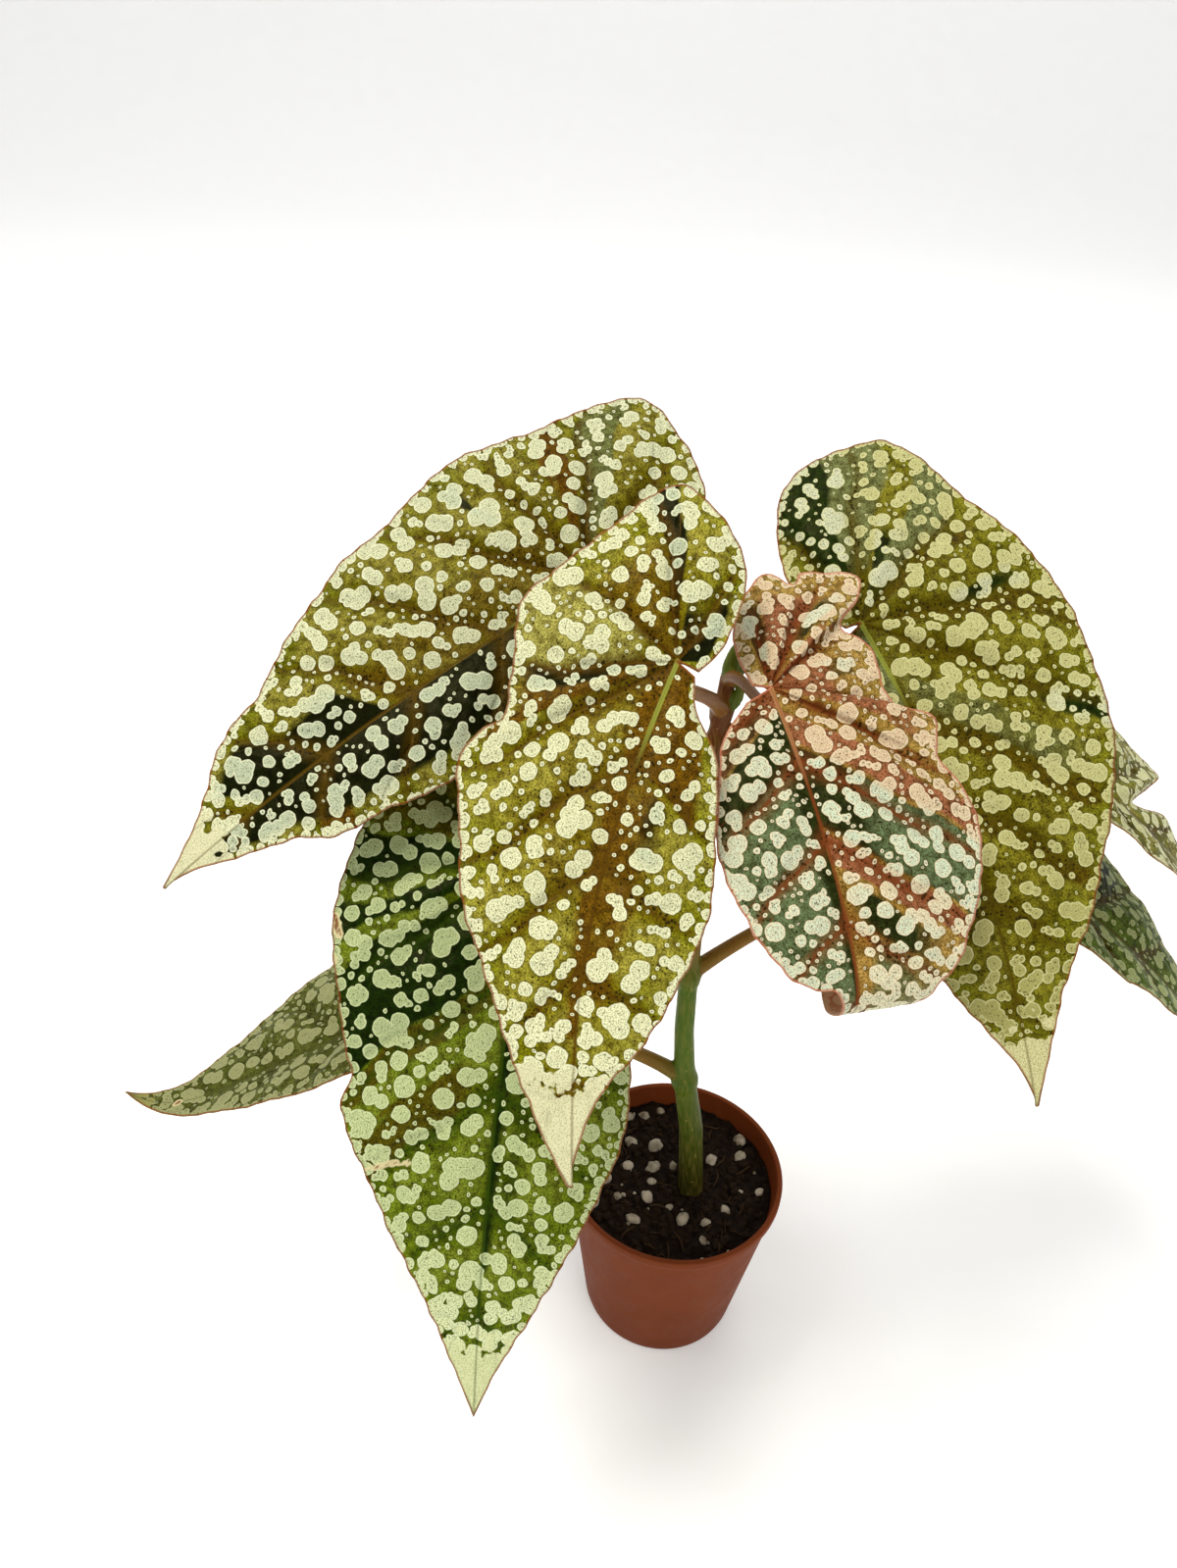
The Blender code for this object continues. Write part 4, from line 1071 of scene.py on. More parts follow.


# The sheen zones below are painted sheen, a reflection of the light laid in as colour; the warm and dark zones are the
# blades' own tones, save one painted fold shadow.
LEAVES = (
    LeafBlade(
        "leaf_upper_left", (-32.7, 2.9, 229), 240, 28, 34, Side.RIGHT, UPPER_LEFT_WIDE, UPPER_LEFT_NARROW,
        BladeSkin("olive begonia blade, upper left"), node_height=185,
        bend=((-40, -12), (0, -6), (50, 0), (100, 12)), left_fold=(-6, -10), right_fold=(4, 0), tip_start=87,
        seed=3,
        zones=(Zone(Half.NARROW, (0.5, 4.4), (-0.3, 0.78), Tone.DARK),
               Zone(Half.NARROW, (2.65, 3.05), (0.2, 1.2), Tone.WARM, 0.8),
               Zone(Half.WIDE, (7.25, 8.0), (-0.3, 0.5), Tone.DARK),
               Zone(Half.WIDE, (8.0, 8.75), (-0.3, 0.85), Tone.DARK),
               Zone(Half.WIDE, (2.6, 3.04), (0.2, 1.0), Tone.PAINTED_SHEEN),
               Zone(Half.WIDE, (2.8, 3.2), (0.1, 0.4), Tone.DARK, 0.9),
               Zone(Half.WIDE, (3.2, 3.5), (0.2, 1.2), Tone.WARM),
               Zone(Half.WIDE, (4.4, 4.6), (0.6, 0.9), Tone.DARK, 0.9),
               Zone(Half.WIDE, (4.0, 7.2), (-0.3, 0.5), Tone.WARM, 0.55))),
    LeafBlade(
        "leaf_front", (-16.5, -32.3, 230.9), 193, 50, 0, Side.RIGHT, FRONT_WIDE, FRONT_NARROW,
        BladeSkin("brown-olive begonia blade, front", ground="#857d0c", margin_green="#858c0c",
                  crest_highlight="#b0a946", warm="#75540b", painted_sheen="#aea955", vein="#4f3606", spot="#d6d6ae",
                  spot_by_tip="#dfdfb6"), node_height=203,
        bend=((-35, -14), (0, -8), (50, 0), (95, 16)), left_fold=(-16, -20), right_fold=(6, 2), bow=5.0,
        tip_start=72, seed=5,
        zones=(Zone(Half.WIDE, (0.1, 0.95), (-0.3, 0.75), Tone.DARK),
               Zone(Half.WIDE, (0.9, 1.6), (-0.3, 0.38), Tone.DARK, 0.85),
               Zone(Half.WIDE, (1.8, 2.06), (-0.3, 1.2), Tone.DARK),
               Zone(Half.WIDE, (2.06, 3.0), (-0.3, 0.75), Tone.WARM, 0.66),
               # Painted sheen on the raised facet between veins 3 and 4, which faces the light.
               Zone(Half.WIDE, (3.0, 4.0), (0.2, 1.2), Tone.PAINTED_SHEEN, 0.85),
               # Brown of the crease valley, deepened as painted shade of the fold.
               Zone(Half.WIDE, (4.0, 4.75), (0.1, 0.95), Tone.WARM),
               # Painted shadow of the fold from the notch to the stalk.
               Zone(Half.WIDE, (3.96, 4.26), (0.0, 0.95), Tone.DARK, 0.8),
               Zone(Half.WIDE, (4.75, 7.0), (-0.3, 0.6), Tone.WARM, 0.5),
               Zone(Half.WIDE, (5.0, 8.6), (-0.3, 0.18), Tone.WARM, 0.95),
               Zone(Half.NARROW, (-0.5, 1.1), (-0.3, 0.75), Tone.WARM, 0.9),
               Zone(Half.NARROW, (1.1, 3.2), (-0.3, 0.4), Tone.WARM, 0.75),
               Zone(Half.NARROW, (1.15, 1.7), (0.2, 0.4), Tone.DARK, 0.8))),
    LeafBlade(
        "leaf_lower_left", (-41, -29, 182.8), 184, 52, 0, Side.RIGHT, LOWER_LEFT_WIDE, LOWER_LEFT_NARROW,
        BladeSkin("green begonia blade, lower left", ground="#5b6d08", margin_green="#6f860e",
                  warm="#5c560a", dark="#142902", vein="#273a04", spot="#b9c391", spot_rim="#c6cf9e",
                  spot_shade="#6b7a40", spot_on_dark="#a7b385", spot_by_tip="#d6dcae", tip="#c9cd9c",
                  crest_highlight="#83942e", tip_fade=(-26.0, -4.0)), node_height=156,
        left_fold=(-8, -14), right_fold=(4, -4), tip_start=94, tip_crowd=22.0, seed=8,
        spot_scale=1.08, spot_crowding=1.05,
        scars=(Scar((58.6, -16.5), (61.8, -27.0)), Scar((14.5, -36.5), (18.0, -35.0), 0.5),
               Scar((22.0, -35.6), (24.0, -35.2), 0.2)),
        zones=(Zone(Half.WIDE, (2.0, 3.5), (-0.3, 1.2), Tone.WARM, 0.8),
               Zone(Half.WIDE, (3.55, 4.1), (-0.3, 1.2), Tone.DARK, 0.85),
               Zone(Half.WIDE, (4.28, 4.6), (-0.3, 1.2), Tone.DARK, 0.85),
               Zone(Half.WIDE, (4.78, 5.85), (-0.3, 1.2), Tone.DARK),
               Zone(Half.WIDE, (5.85, 6.15), (0.0, 1.2), Tone.WARM, 0.95),
               Zone(Half.WIDE, (6.45, 6.95), (0.2, 1.2), Tone.WARM, 0.85),
               Zone(Half.WIDE, (5.9, 9.0), (-0.3, 0.03), Tone.DARK),
               Zone(Half.NARROW, (0.7, 3.6), (-0.3, 0.12), Tone.DARK),
               Zone(Half.NARROW, (1.0, 3.0), (0.1, 0.35), Tone.DARK, 0.65))),
    LeafBlade(
        "leaf_young", (0.9, -25.6, 223.1), 160, 38, -6, Side.LEFT, YOUNG_WIDE, YOUNG_NARROW,
        BladeSkin("young pink begonia blade", ground="#a07b34", margin_green="#b0984c", crest_highlight="#bb9853",
                  warm="#a36848", dark="#2b3412", painted_sheen="#687a55", vein="#6b3416", spot="#cdb897",
                  spot_shade="#96795a", spot_rim="#dac9a8", spot_on_dark="#c3d3b8", spot_by_tip="#d2d4b4",
                  tip="#c0966a", edge="#b06a50", under="#a5764f", rib="#a9794f"),
        slot="young_leaf_blade", node_height=210, bend=CURLED_BEND, left_fold=(4, -4), right_fold=(-6, -10),
        bow=1.5, stalk=1.2, tip_start=66, seed=13, spot_scale=0.9, spot_crowding=1.4,
        zones=(Zone(Half.WIDE, (0.75, 1.2), (0.1, 0.9), Tone.DARK, 0.85),
               Zone(Half.WIDE, (1.2, 2.1), (-0.3, 0.8), Tone.WARM, 0.85),
               Zone(Half.WIDE, (2.1, 2.35), (0.3, 0.75), Tone.DARK, 0.85),
               Zone(Half.WIDE, (2.4, 3.9), (-0.3, 0.6), Tone.WARM, 0.85),
               Zone(Half.WIDE, (3.3, 3.6), (0.5, 0.8), Tone.DARK, 0.7),
               Zone(Half.WIDE, (4.05, 4.6), (-0.3, 0.9), Tone.WARM, 0.75),
               Zone(Half.WIDE, (5.3, 5.75), (-0.3, 1.2), Tone.WARM, 0.85),
               Zone(Half.WIDE, (5.78, 6.85), (-0.3, 1.2), Tone.DARK),
               Zone(Half.WIDE, (5.78, 6.85), (0.3, 1.2), Tone.PAINTED_SHEEN, 0.85),
               Zone(Half.WIDE, (6.9, 7.3), (-0.3, 1.2), Tone.WARM),
               Zone(Half.WIDE, (7.4, 7.9), (0.1, 0.8), Tone.DARK, 0.8),
               Zone(Half.WIDE, (7.9, 9.2), (0.2, 1.2), Tone.PAINTED_SHEEN, 0.65),
               Zone(Half.NARROW, (-0.5, 0.3), (-0.3, 1.2), Tone.WARM, 0.8),
               Zone(Half.NARROW, (-0.1, 0.3), (0.2, 1.0), Tone.DARK, 0.66),
               Zone(Half.NARROW, (0.3, 4.2), (-0.3, 1.2), Tone.DARK, 0.85),
               Zone(Half.NARROW, (0.9, 4.0), (0.15, 1.2), Tone.PAINTED_SHEEN, 0.9))),
    LeafBlade(
        "leaf_right", (20.8, -0.4, 224.4), 151, 42, -24, Side.LEFT, RIGHT_WIDE, RIGHT_NARROW,
        BladeSkin("olive begonia blade, right", ground="#635c05", margin_green="#81851a", dark="#1f3006",
                  painted_sheen="#7c8452", crest_highlight="#8c8828", warm="#5f5006", vein="#4a3e05", spot="#b9b77f",
                  spot_rim="#c6c48e", spot_shade="#7d7a45", spot_on_dark="#c6caac", spot_by_tip="#9c995c",
                  tip="#c9c495"), node_height=195,
        left_fold=(4, -4), right_fold=(-6, -12), bow=4.0, tip_start=84, seed=17,
        zones=(Zone(Half.WIDE, (1.05, 1.92), (0.0, 1.2), Tone.DARK),
               Zone(Half.WIDE, (1.7, 2.3), (0.25, 1.2), Tone.PAINTED_SHEEN, 0.8),
               Zone(Half.WIDE, (2.35, 3.08), (-0.3, 0.5), Tone.DARK),
               Zone(Half.WIDE, (2.6, 3.02), (0.35, 1.2), Tone.PAINTED_SHEEN, 0.95),
               Zone(Half.WIDE, (3.1, 3.3), (0.0, 0.9), Tone.WARM, 0.8),
               Zone(Half.WIDE, (3.78, 3.97), (0.45, 0.85), Tone.DARK, 0.9),
               Zone(Half.WIDE, (4.0, 4.3), (0.1, 1.2), Tone.WARM, 0.7),
               Zone(Half.WIDE, (4.95, 5.25), (0.7, 1.2), Tone.DARK, 0.85),
               Zone(Half.WIDE, (5.5, 5.97), (0.0, 0.9), Tone.PAINTED_SHEEN, 0.6),
               Zone(Half.WIDE, (6.0, 6.3), (0.0, 1.0), Tone.WARM, 0.8),
               Zone(Half.WIDE, (7.0, 7.25), (0.0, 1.0), Tone.WARM, 0.8),
               Zone(Half.NARROW, (-0.3, 1.4), (-0.3, 0.6), Tone.PAINTED_SHEEN, 0.9),
               Zone(Half.NARROW, (1.6, 3.0), (0.3, 0.9), Tone.DARK, 0.6))),
    LeafBlade(
        "leaf_far_left", (-49.7, -4.3, 128.4), 257, 24, -7.5, Side.RIGHT, EVEN_WIDE, EVEN_NARROW,
        BladeSkin("old begonia blade, far left", ground="#50581a", margin_green="#5a6222", warm="#4d4f1a",
                  crest_highlight="#6a7136", vein="#44461a", spot_by_tip="#8f9164",
                  spot="#8f9164", spot_shade="#6f7349", spot_rim="#9b9d70", spot_on_dark="#85885e",
                  tip="#8f8a4a"), node_height=95,
        bend=HOOKED_BEND, left_fold=(8.5, 8.5), right_fold=(8.5, 8.5), stalk=1.7, size=0.95, tip_start=92,
        seed=21, spot_scale=1.15, spot_crowding=1.3, scars=(Scar((83.6, -0.4), (84.6, 0.4)),),
        zones=(Zone(Half.WIDE, (1.5, 4.2), (0.2, 0.9), Tone.DARK, 0.7),)),
    LeafBlade(
        "leaf_low_right", (53, 12, 172), 104, 33, -1, Side.LEFT, EVEN_WIDE, EVEN_NARROW,
        BladeSkin("green begonia blade, low right", ground="#4f651c", margin_green="#58741f", warm="#56581a",
                  crest_highlight="#6f8438", spot_by_tip="#9aa26c",
                  spot="#9aa26c", spot_shade="#7a8250", spot_rim="#a6ad78", spot_on_dark="#8f9866",
                  tip="#a9ab6a"), node_height=130,
        bend=LOOSE_BEND, left_fold=(7, 7), right_fold=(7, 7), stalk=1.6, size=0.95, tip_start=90, seed=26,
        spot_scale=1.05,
        zones=(Zone(Half.WIDE, (5.5, 7.0), (0.1, 0.9), Tone.DARK, 0.7),)),
    LeafBlade(
        "leaf_mid_right", (49, 11, 206), 97, 36, -4, Side.LEFT, NOTCHED_WIDE, EVEN_NARROW,
        BladeSkin("pale green begonia blade, middle right", ground="#6d7224", margin_green="#78802c",
                  spot="#babb88", spot_shade="#999a68"), node_height=172,
        bend=LOOSE_BEND, left_fold=(9, 9), right_fold=(9, 9), size=0.93, tip_start=88, seed=31,
        scars=(Scar((60.5, 25.2), (61.5, 24.0), 0.4), Scar((51.5, 6.0), (53.5, 7.0), 0.3)),
        zones=(Zone(Half.WIDE, (3.0, 4.4), (0.2, 1.0), Tone.DARK, 0.8),)),
)


@dataclass(frozen=True)
class StemSkin:
    """Smooth living bark of a begonia cane.

    It is waxy, so it shines softly along its length, and its pores show as small pale raised flecks.
    """

    green: str = "#415b04"
    olive: str = "#544a0a"
    amber: str = "#865621"
    red: str = "#5c2d0c"
    foot: str = "#2a2704"
    pale: str = "#85793c"
    roughness: float = 0.4

    STREAK_WIDTH_MM = 0.6
    PORE_SPACING_MM = 2.4

    def build(self) -> bpy.types.Material:
        """Makes the material."""
        finish, tree, shader = new_finish("begonia stem skin")
        place = add_node(tree, "Attribute", {"attribute_name": "stem_place"})
        parts = add_node(tree, "SeparateXYZ", {}, {0: place.outputs["Vector"]})
        ramp = add_node(tree, "ValToRGB", {}, {0: parts.outputs[2]})
        stops = ((0.0, self.foot), (0.25, self.green), (0.5, self.olive), (0.65, self.amber),
                 (0.85, self.red), (1.0, self.red))
        ramp.color_ramp.elements[0].color = linear(stops[0][1])
        ramp.color_ramp.elements[1].position = stops[-1][0]
        ramp.color_ramp.elements[1].color = linear(stops[-1][1])
        for position, colour in stops[1:-1]:
            ramp.color_ramp.elements.new(position).color = linear(colour)
        stretched = add_node(tree, "VectorMath", {"operation": "MULTIPLY"}, {
            0: place.outputs["Vector"], 1: (0.12 / self.STREAK_WIDTH_MM, 1 / self.STREAK_WIDTH_MM, 0.0)})
        streak = add_node(tree, "TexNoise", {}, {"Vector": stretched, "Scale": 1.0, "Detail": 3.0})
        streak_share = add_node(tree, "MapRange", {}, {0: streak.outputs[0], 1: 0.4, 2: 0.75, 3: 0.0, 4: 0.4})
        streaked = add_node(tree, "Mix", {"data_type": "RGBA"}, {
            "Factor": streak_share, "A": ramp.outputs[0], "B": linear(self.pale)})
        squeezed = add_node(tree, "VectorMath", {"operation": "MULTIPLY"}, {
            0: place.outputs["Vector"], 1: (0.6 / self.PORE_SPACING_MM, 1 / self.PORE_SPACING_MM, 0.0)})
        pores = add_node(tree, "TexVoronoi", {}, {"Vector": squeezed, "Scale": 1.0})
        pore = add_node(tree, "MapRange", {}, {0: pores.outputs["Distance"], 1: 0.16, 2: 0.08, 3: 0.0, 4: 0.6})
        flecked = add_node(tree, "Mix", {"data_type": "RGBA"}, {
            "Factor": pore, "A": streaked, "B": linear(self.pale)})
        tree.links.new(flecked.outputs[2], shader.inputs["Base Color"])
        shader.inputs["Roughness"].default_value = self.roughness
        shader.inputs["Specular IOR Level"].default_value = 0.1
        rise = add_node(tree, "Math", {"operation": "MULTIPLY_ADD"}, {0: pore, 1: 0.08, 2: streak_share})
        scaled = add_node(tree, "Math", {"operation": "MULTIPLY"}, {0: rise, 1: 0.12})
        bump = add_node(tree, "Bump", {}, {"Strength": 0.7, "Distance": MM, "Height": scaled})
        tree.links.new(bump.outputs[0], shader.inputs["Normal"])
        return finish


@dataclass
class Tube:
    """Tube along a route of points, with a radius for each."""

    route: np.ndarray
    radii: np.ndarray
    sides: int = 24
    flatness: float = 1.0

    def mesh_parts(self) -> tuple[np.ndarray, list]:
        """Works out the closed tube's points and faces."""
        tangents = np.gradient(self.route, axis=0)
        tangents /= np.linalg.norm(tangents, axis=1)[:, None]
        side = np.cross(tangents[0], (0.13, 1.0, 0.21))
        points = []
        angles = np.linspace(0, 2 * np.pi, self.sides, endpoint=False)
        for spot, tangent, radius in zip(self.route, tangents, self.radii):
            side = side - tangent * side.dot(tangent)
            side /= np.linalg.norm(side)
            other = np.cross(tangent, side) * self.flatness
            points.append(spot + radius * (np.outer(np.cos(angles), side) + np.outer(np.sin(angles), other)))
        points = np.vstack(points)
        faces = [list(range(self.sides)), list(range(len(points) - self.sides, len(points)))]
        for k in range(len(self.route) - 1):
            for i in range(self.sides):
                j = (i + 1) % self.sides
                low, high = k * self.sides, (k + 1) * self.sides
                faces.append([low + i, low + j, high + j, high + i])
        return points, faces


@dataclass
class Cane:
    """Cane with its stalks, stipules and end bud, grown as one piece."""

    leaves: tuple[LeafBlade, ...]
    route: tuple[Triple, ...] = (
        (5.0, -2.0, 24.0), (5.0, -2.0, 49.0), (2.4, -3.2, 76.0), (-1.2, -3.4, 95.0),
        (-2.9, -3.0, 112.0), (-3.5, -2.0, 130.0), (-4.0, -1.6, 156.0), (-4.3, -1.3, 172.0),
        (-4.4, -1.0, 185.0), (-4.2, -0.6, 195.0), (-3.8, -0.3, 203.0), (-3.3, 0.0, 211.0))
    radii: Pairs = ((24.0, 3.3), (48.0, 3.5), (80.0, 3.1), (110.0, 2.5), (150.0, 2.2), (190.0, 2.0), (211.0, 1.7))
    node_swell: float = 0.8
    node_half_length: float = 2.4
    scar_rise: float = 0.25
    scar_half_length: float = 0.35
    scar_drop: float = 2.2
    last_swelling: float = 205.0
    stipules_from: float = 150.0
    petiole_foot: float = 2.0
    petiole_rise: float = 0.9
    petiole_taper: Pairs = ((0.0, 1.35), (0.12, 1.15), (0.3, 1.0), (0.9, 0.9), (1.0, 0.95))
    stipule_route: tuple[Triple, ...] = ((0.8, 0.0, 0.0), (2.4, 0.0, 2.5), (3.4, 1.0, 6.0), (3.4, 1.8, 9.5))
    stipule_radii: tuple[float, ...] = (1.1, 1.5, 1.1, 0.3)
    bud_route: tuple[Triple, ...] = ((0.0, 0.0, -3.0), (0.2, -0.3, 2.0), (0.8, -0.8, 6.0), (1.6, -1.2, 10.0))
    bud_radii: tuple[float, ...] = (1.5, 1.9, 1.5, 0.35)
    skin: StemSkin = field(default_factory=StemSkin)

    VOXEL = 0.42
    SMOOTHING = 6
    # Tint of the skin by height on the cane: 0 foot, 0.25 green, 0.5 olive, 0.65 amber, then reddish brown.
    TINT_BY_HEIGHT = ((48.0, 0.0), (66.0, 0.05), (86.0, 0.14), (104.0, 0.24), (126.0, 0.24), (136.0, 0.5),
                      (150.0, 0.75), (180.0, 0.9), (211.0, 0.85))

    def centre(self, height: float) -> np.ndarray:
        """Finds the cane's centre at a height."""
        heights = [p[2] for p in self.route]
        return np.array([np.interp(height, heights, [p[k] for p in self.route]) for k in range(2)] + [height])

    def radius(self, height: float) -> float:
        """Finds the cane's radius at a height, with the swollen nodes and the scar under each."""
        plain = np.interp(height, *zip(*self.radii))
        if height > self.last_swelling:
            return plain
        nodes = [leaf.node_height for leaf in self.leaves]
        swell = sum(math.exp(-((height - node) / self.node_half_length) ** 2) for node in nodes)
        scar = sum(math.exp(-((height - node + self.scar_drop) / self.scar_half_length) ** 2) for node in nodes)
        return plain + self.node_swell * min(swell, 1.0) + self.scar_rise * min(scar, 1.0)

    def petiole(self, leaf: LeafBlade) -> Tube:
        """Works out the stalk of one leaf, from inside its node to the blade's underside."""
        start = self.centre(leaf.node_height)
        foot = (np.array(self.petiole_foot), np.array(0.0))
        normal = leaf.normal(*foot)
        end = leaf.point(*foot) - normal * 0.1
        span = np.linalg.norm(end - start)
        outward = end - start
        outward[2] = 0
        outward = outward / np.linalg.norm(outward) + np.array([0, 0, self.petiole_rise])
        first = start + outward / np.linalg.norm(outward) * span * 0.4
        last = end - normal * span * 0.3
        t = np.linspace(0, 1, 60)[:, None]
        route = (1 - t) ** 3 * start + 3 * t * (1 - t) ** 2 * first + 3 * t * t * (1 - t) * last + t ** 3 * end
        radii = leaf.stalk * np.interp(t[:, 0], *zip(*self.petiole_taper))
        return Tube(route, radii)

    def stipule(self, leaf: LeafBlade) -> Tube:
        """Works out the narrow pointed stipule beside a stalk."""
        start = self.centre(leaf.node_height)
        outward = np.array(leaf.joint) - start
        outward[2] = 0
        outward /= np.linalg.norm(outward)
        aside = np.array([-outward[1], outward[0], 0])
        points = [start + aside * a + outward * b + np.array([0, 0, c]) for a, b, c in self.stipule_route]
        return self.pointed(points, self.stipule_radii, 0.5)

    def pointed(self, points: list, radii: tuple, flatness: float) -> Tube:
        """Runs a smooth tapered tube through a few points."""
        route = smooth_curve(points, 6)
        shares = np.linspace(0, len(radii) - 1, len(route))
        return Tube(route, np.interp(shares, range(len(radii)), radii), 16, flatness)

    def build(self) -> bpy.types.Object:
        """Builds the cane and its stalks as one smooth skin.

        Returns:
            The finished cane.
        """
        heights = np.arange(self.route[0][2], self.route[-1][2] + 0.01, 0.5)
        main = Tube(np.array([self.centre(h) for h in heights]), np.array([self.radius(h) for h in heights]), 40)
        petioles = [self.petiole(leaf) for leaf in self.leaves]
        others = [self.stipule(leaf) for leaf in self.leaves if leaf.node_height > self.stipules_from]
        bud = self.centre(self.route[-1][2]) + np.array(self.bud_route)
        others.append(self.pointed(list(bud), self.bud_radii, 0.8))
        points = []
        faces = []
        for tube in (main, *petioles, *others):
            start = sum(len(p) for p in points)
            tube_points, tube_faces = tube.mesh_parts()
            points.append(tube_points)
            faces += [[c + start for c in face] for face in tube_faces]
        cane = add_mesh("cane_skin", np.vstack(points), faces)
        remesh = cane.modifiers.new("one skin", "REMESH")
        remesh.mode = "VOXEL"
        remesh.voxel_size = self.VOXEL * MM
        remesh.use_smooth_shade = True
        relax = cane.modifiers.new("grown joints", "SMOOTH")
        relax.iterations = self.SMOOTHING
        relax.factor = 0.5
        graph = bpy.context.evaluated_depsgraph_get()
        skin = bpy.data.meshes.new_from_object(cane.evaluated_get(graph))
        cane.modifiers.clear()
        cane.data = skin
        self.store_places(skin, main, petioles, others)
        skin.materials.append(self.skin.build())
        return cane

    def store_places(self, mesh: bpy.types.Mesh, main: Tube, petioles: list, others: list) -> None:
        """Stores each vertex's run along its branch, its run round it and the tint of the skin there."""
        spots = np.zeros(len(mesh.vertices) * 3, np.float32)
        mesh.vertices.foreach_get("co", spots)
        spots = spots.reshape(-1, 3) / MM
        best = np.full(len(spots), 1e9)
        rows = np.zeros((len(spots), 3))
        for number, tube in enumerate((main, *petioles, *others)):
            run = np.concatenate([[0], np.cumsum(np.linalg.norm(np.diff(tube.route, axis=0), axis=1))])
            if tube is main:
                tint = np.interp(tube.route[:, 2], *zip(*self.TINT_BY_HEIGHT))
            elif number <= len(petioles):
                node = self.leaves[number - 1].node_height
                from_node = np.interp(node, *zip(*self.TINT_BY_HEIGHT))
                tint = from_node + (0.68 - from_node) * np.linspace(0, 1, len(run)) ** 0.15
            else:
                tint = np.full(len(run), 0.3)
            thick = np.maximum(tube.radii, 0.3)
            for start in range(0, len(spots), 4000):
                block = slice(start, start + 4000)
                away = np.linalg.norm(spots[block, None] - tube.route[None], axis=2)
                gap = away - thick[None]
                nearest = gap.argmin(1)
                value = gap[np.arange(len(nearest)), nearest]
                nearer = value < best[block]
                offset = spots[block] - tube.route[nearest]
                angle = np.arctan2(offset[:, 1] + offset[:, 2] * 0.5, offset[:, 0])
                made = np.stack([run[nearest] + number * 37.0, angle * thick[nearest], tint[nearest]], -1)
                rows[block][nearer] = made[nearer]
                best[block] = np.where(nearer, value, best[block])
        attribute = mesh.attributes.new("stem_place", "FLOAT_VECTOR", "POINT")
        attribute.data.foreach_set("vector", rows.astype(np.float32).ravel())


@dataclass(frozen=True)
class MouldedPolypropylene:
    """Thin moulded polypropylene of a nursery pot.

    It comes out of the mould satin with a faint orange peel, and handling and soil leave dull dust on it.
    """

    clay: str = "#773818"
    shade: str = "#662f14"
    dust: str = "#824d2f"
    roughness: float = 0.5

    PEEL_SIZE_MM = 0.9
    DUST_SIZE_MM = 6.0

    def build(self) -> bpy.types.Material:
        """Makes the material."""
        finish, tree, shader = new_finish("moulded terracotta polypropylene")
        place = add_node(tree, "TexCoord")
        scaled = add_node(tree, "VectorMath", {"operation": "SCALE"}, {
            0: place.outputs["Object"], "Scale": 1 / MM})
        cloud = add_node(tree, "TexNoise", {}, {"Vector": scaled, "Scale": 1 / 14.0, "Detail": 3.0})
        base = add_node(tree, "Mix", {"data_type": "RGBA"}, {
            "Factor": cloud.outputs[0], "A": linear(self.clay), "B": linear(self.shade)})
        dust = add_node(tree, "TexNoise", {}, {"Vector": scaled, "Scale": 1 / self.DUST_SIZE_MM, "Detail": 8.0,
                                               "Roughness": 0.7})
        dust_share = add_node(tree, "MapRange", {}, {0: dust.outputs[0], 1: 0.55, 2: 0.8, 3: 0.0, 4: 0.35})
        dusty = add_node(tree, "Mix", {"data_type": "RGBA"}, {
            "Factor": dust_share, "A": base, "B": linear(self.dust)})
        tree.links.new(dusty.outputs[2], shader.inputs["Base Color"])
        rough = add_node(tree, "MapRange", {}, {0: dust.outputs[0], 1: 0.4, 2: 0.8,
                                                3: self.roughness, 4: self.roughness + 0.2})
        tree.links.new(rough.outputs[0], shader.inputs["Roughness"])
        shader.inputs["Specular IOR Level"].default_value = 0.06
        peel = add_node(tree, "TexNoise", {}, {"Vector": scaled, "Scale": 1 / self.PEEL_SIZE_MM, "Detail": 1.0})
        height = add_node(tree, "Math", {"operation": "MULTIPLY"}, {0: peel.outputs[0], 1: 0.04})
        bump = add_node(tree, "Bump", {}, {"Strength": 0.6, "Distance": MM, "Height": height})
        tree.links.new(bump.outputs[0], shader.inputs["Normal"])
        return finish


def turned_body(profile: Pairs, sides: int) -> tuple[np.ndarray, list]:
    """Turns a profile round the Z axis into a closed body.

    Args:
        profile: Radius and height pairs, starting and ending on the axis.
        sides: Number of steps round.

    Returns:
        Points and faces.
    """
    points = []
    rows = []
    for radius, height in profile:
        if radius < 1e-6:
            rows.append([len(points)] * sides)
            points.append((0.0, 0.0, height))
            continue
        rows.append(list(range(len(points), len(points) + sides)))
        for i in range(sides):
            angle = 2 * math.pi * i / sides
            points.append((radius * math.cos(angle), radius * math.sin(angle), height))
    faces = []
    for low, high in zip(rows, rows[1:]):
        for i in range(sides):
            j = (i + 1) % sides
            corners = list(dict.fromkeys((low[i], low[j], high[j], high[i])))
            if len(corners) > 2:
                faces.append(corners)
    return np.array(points), faces


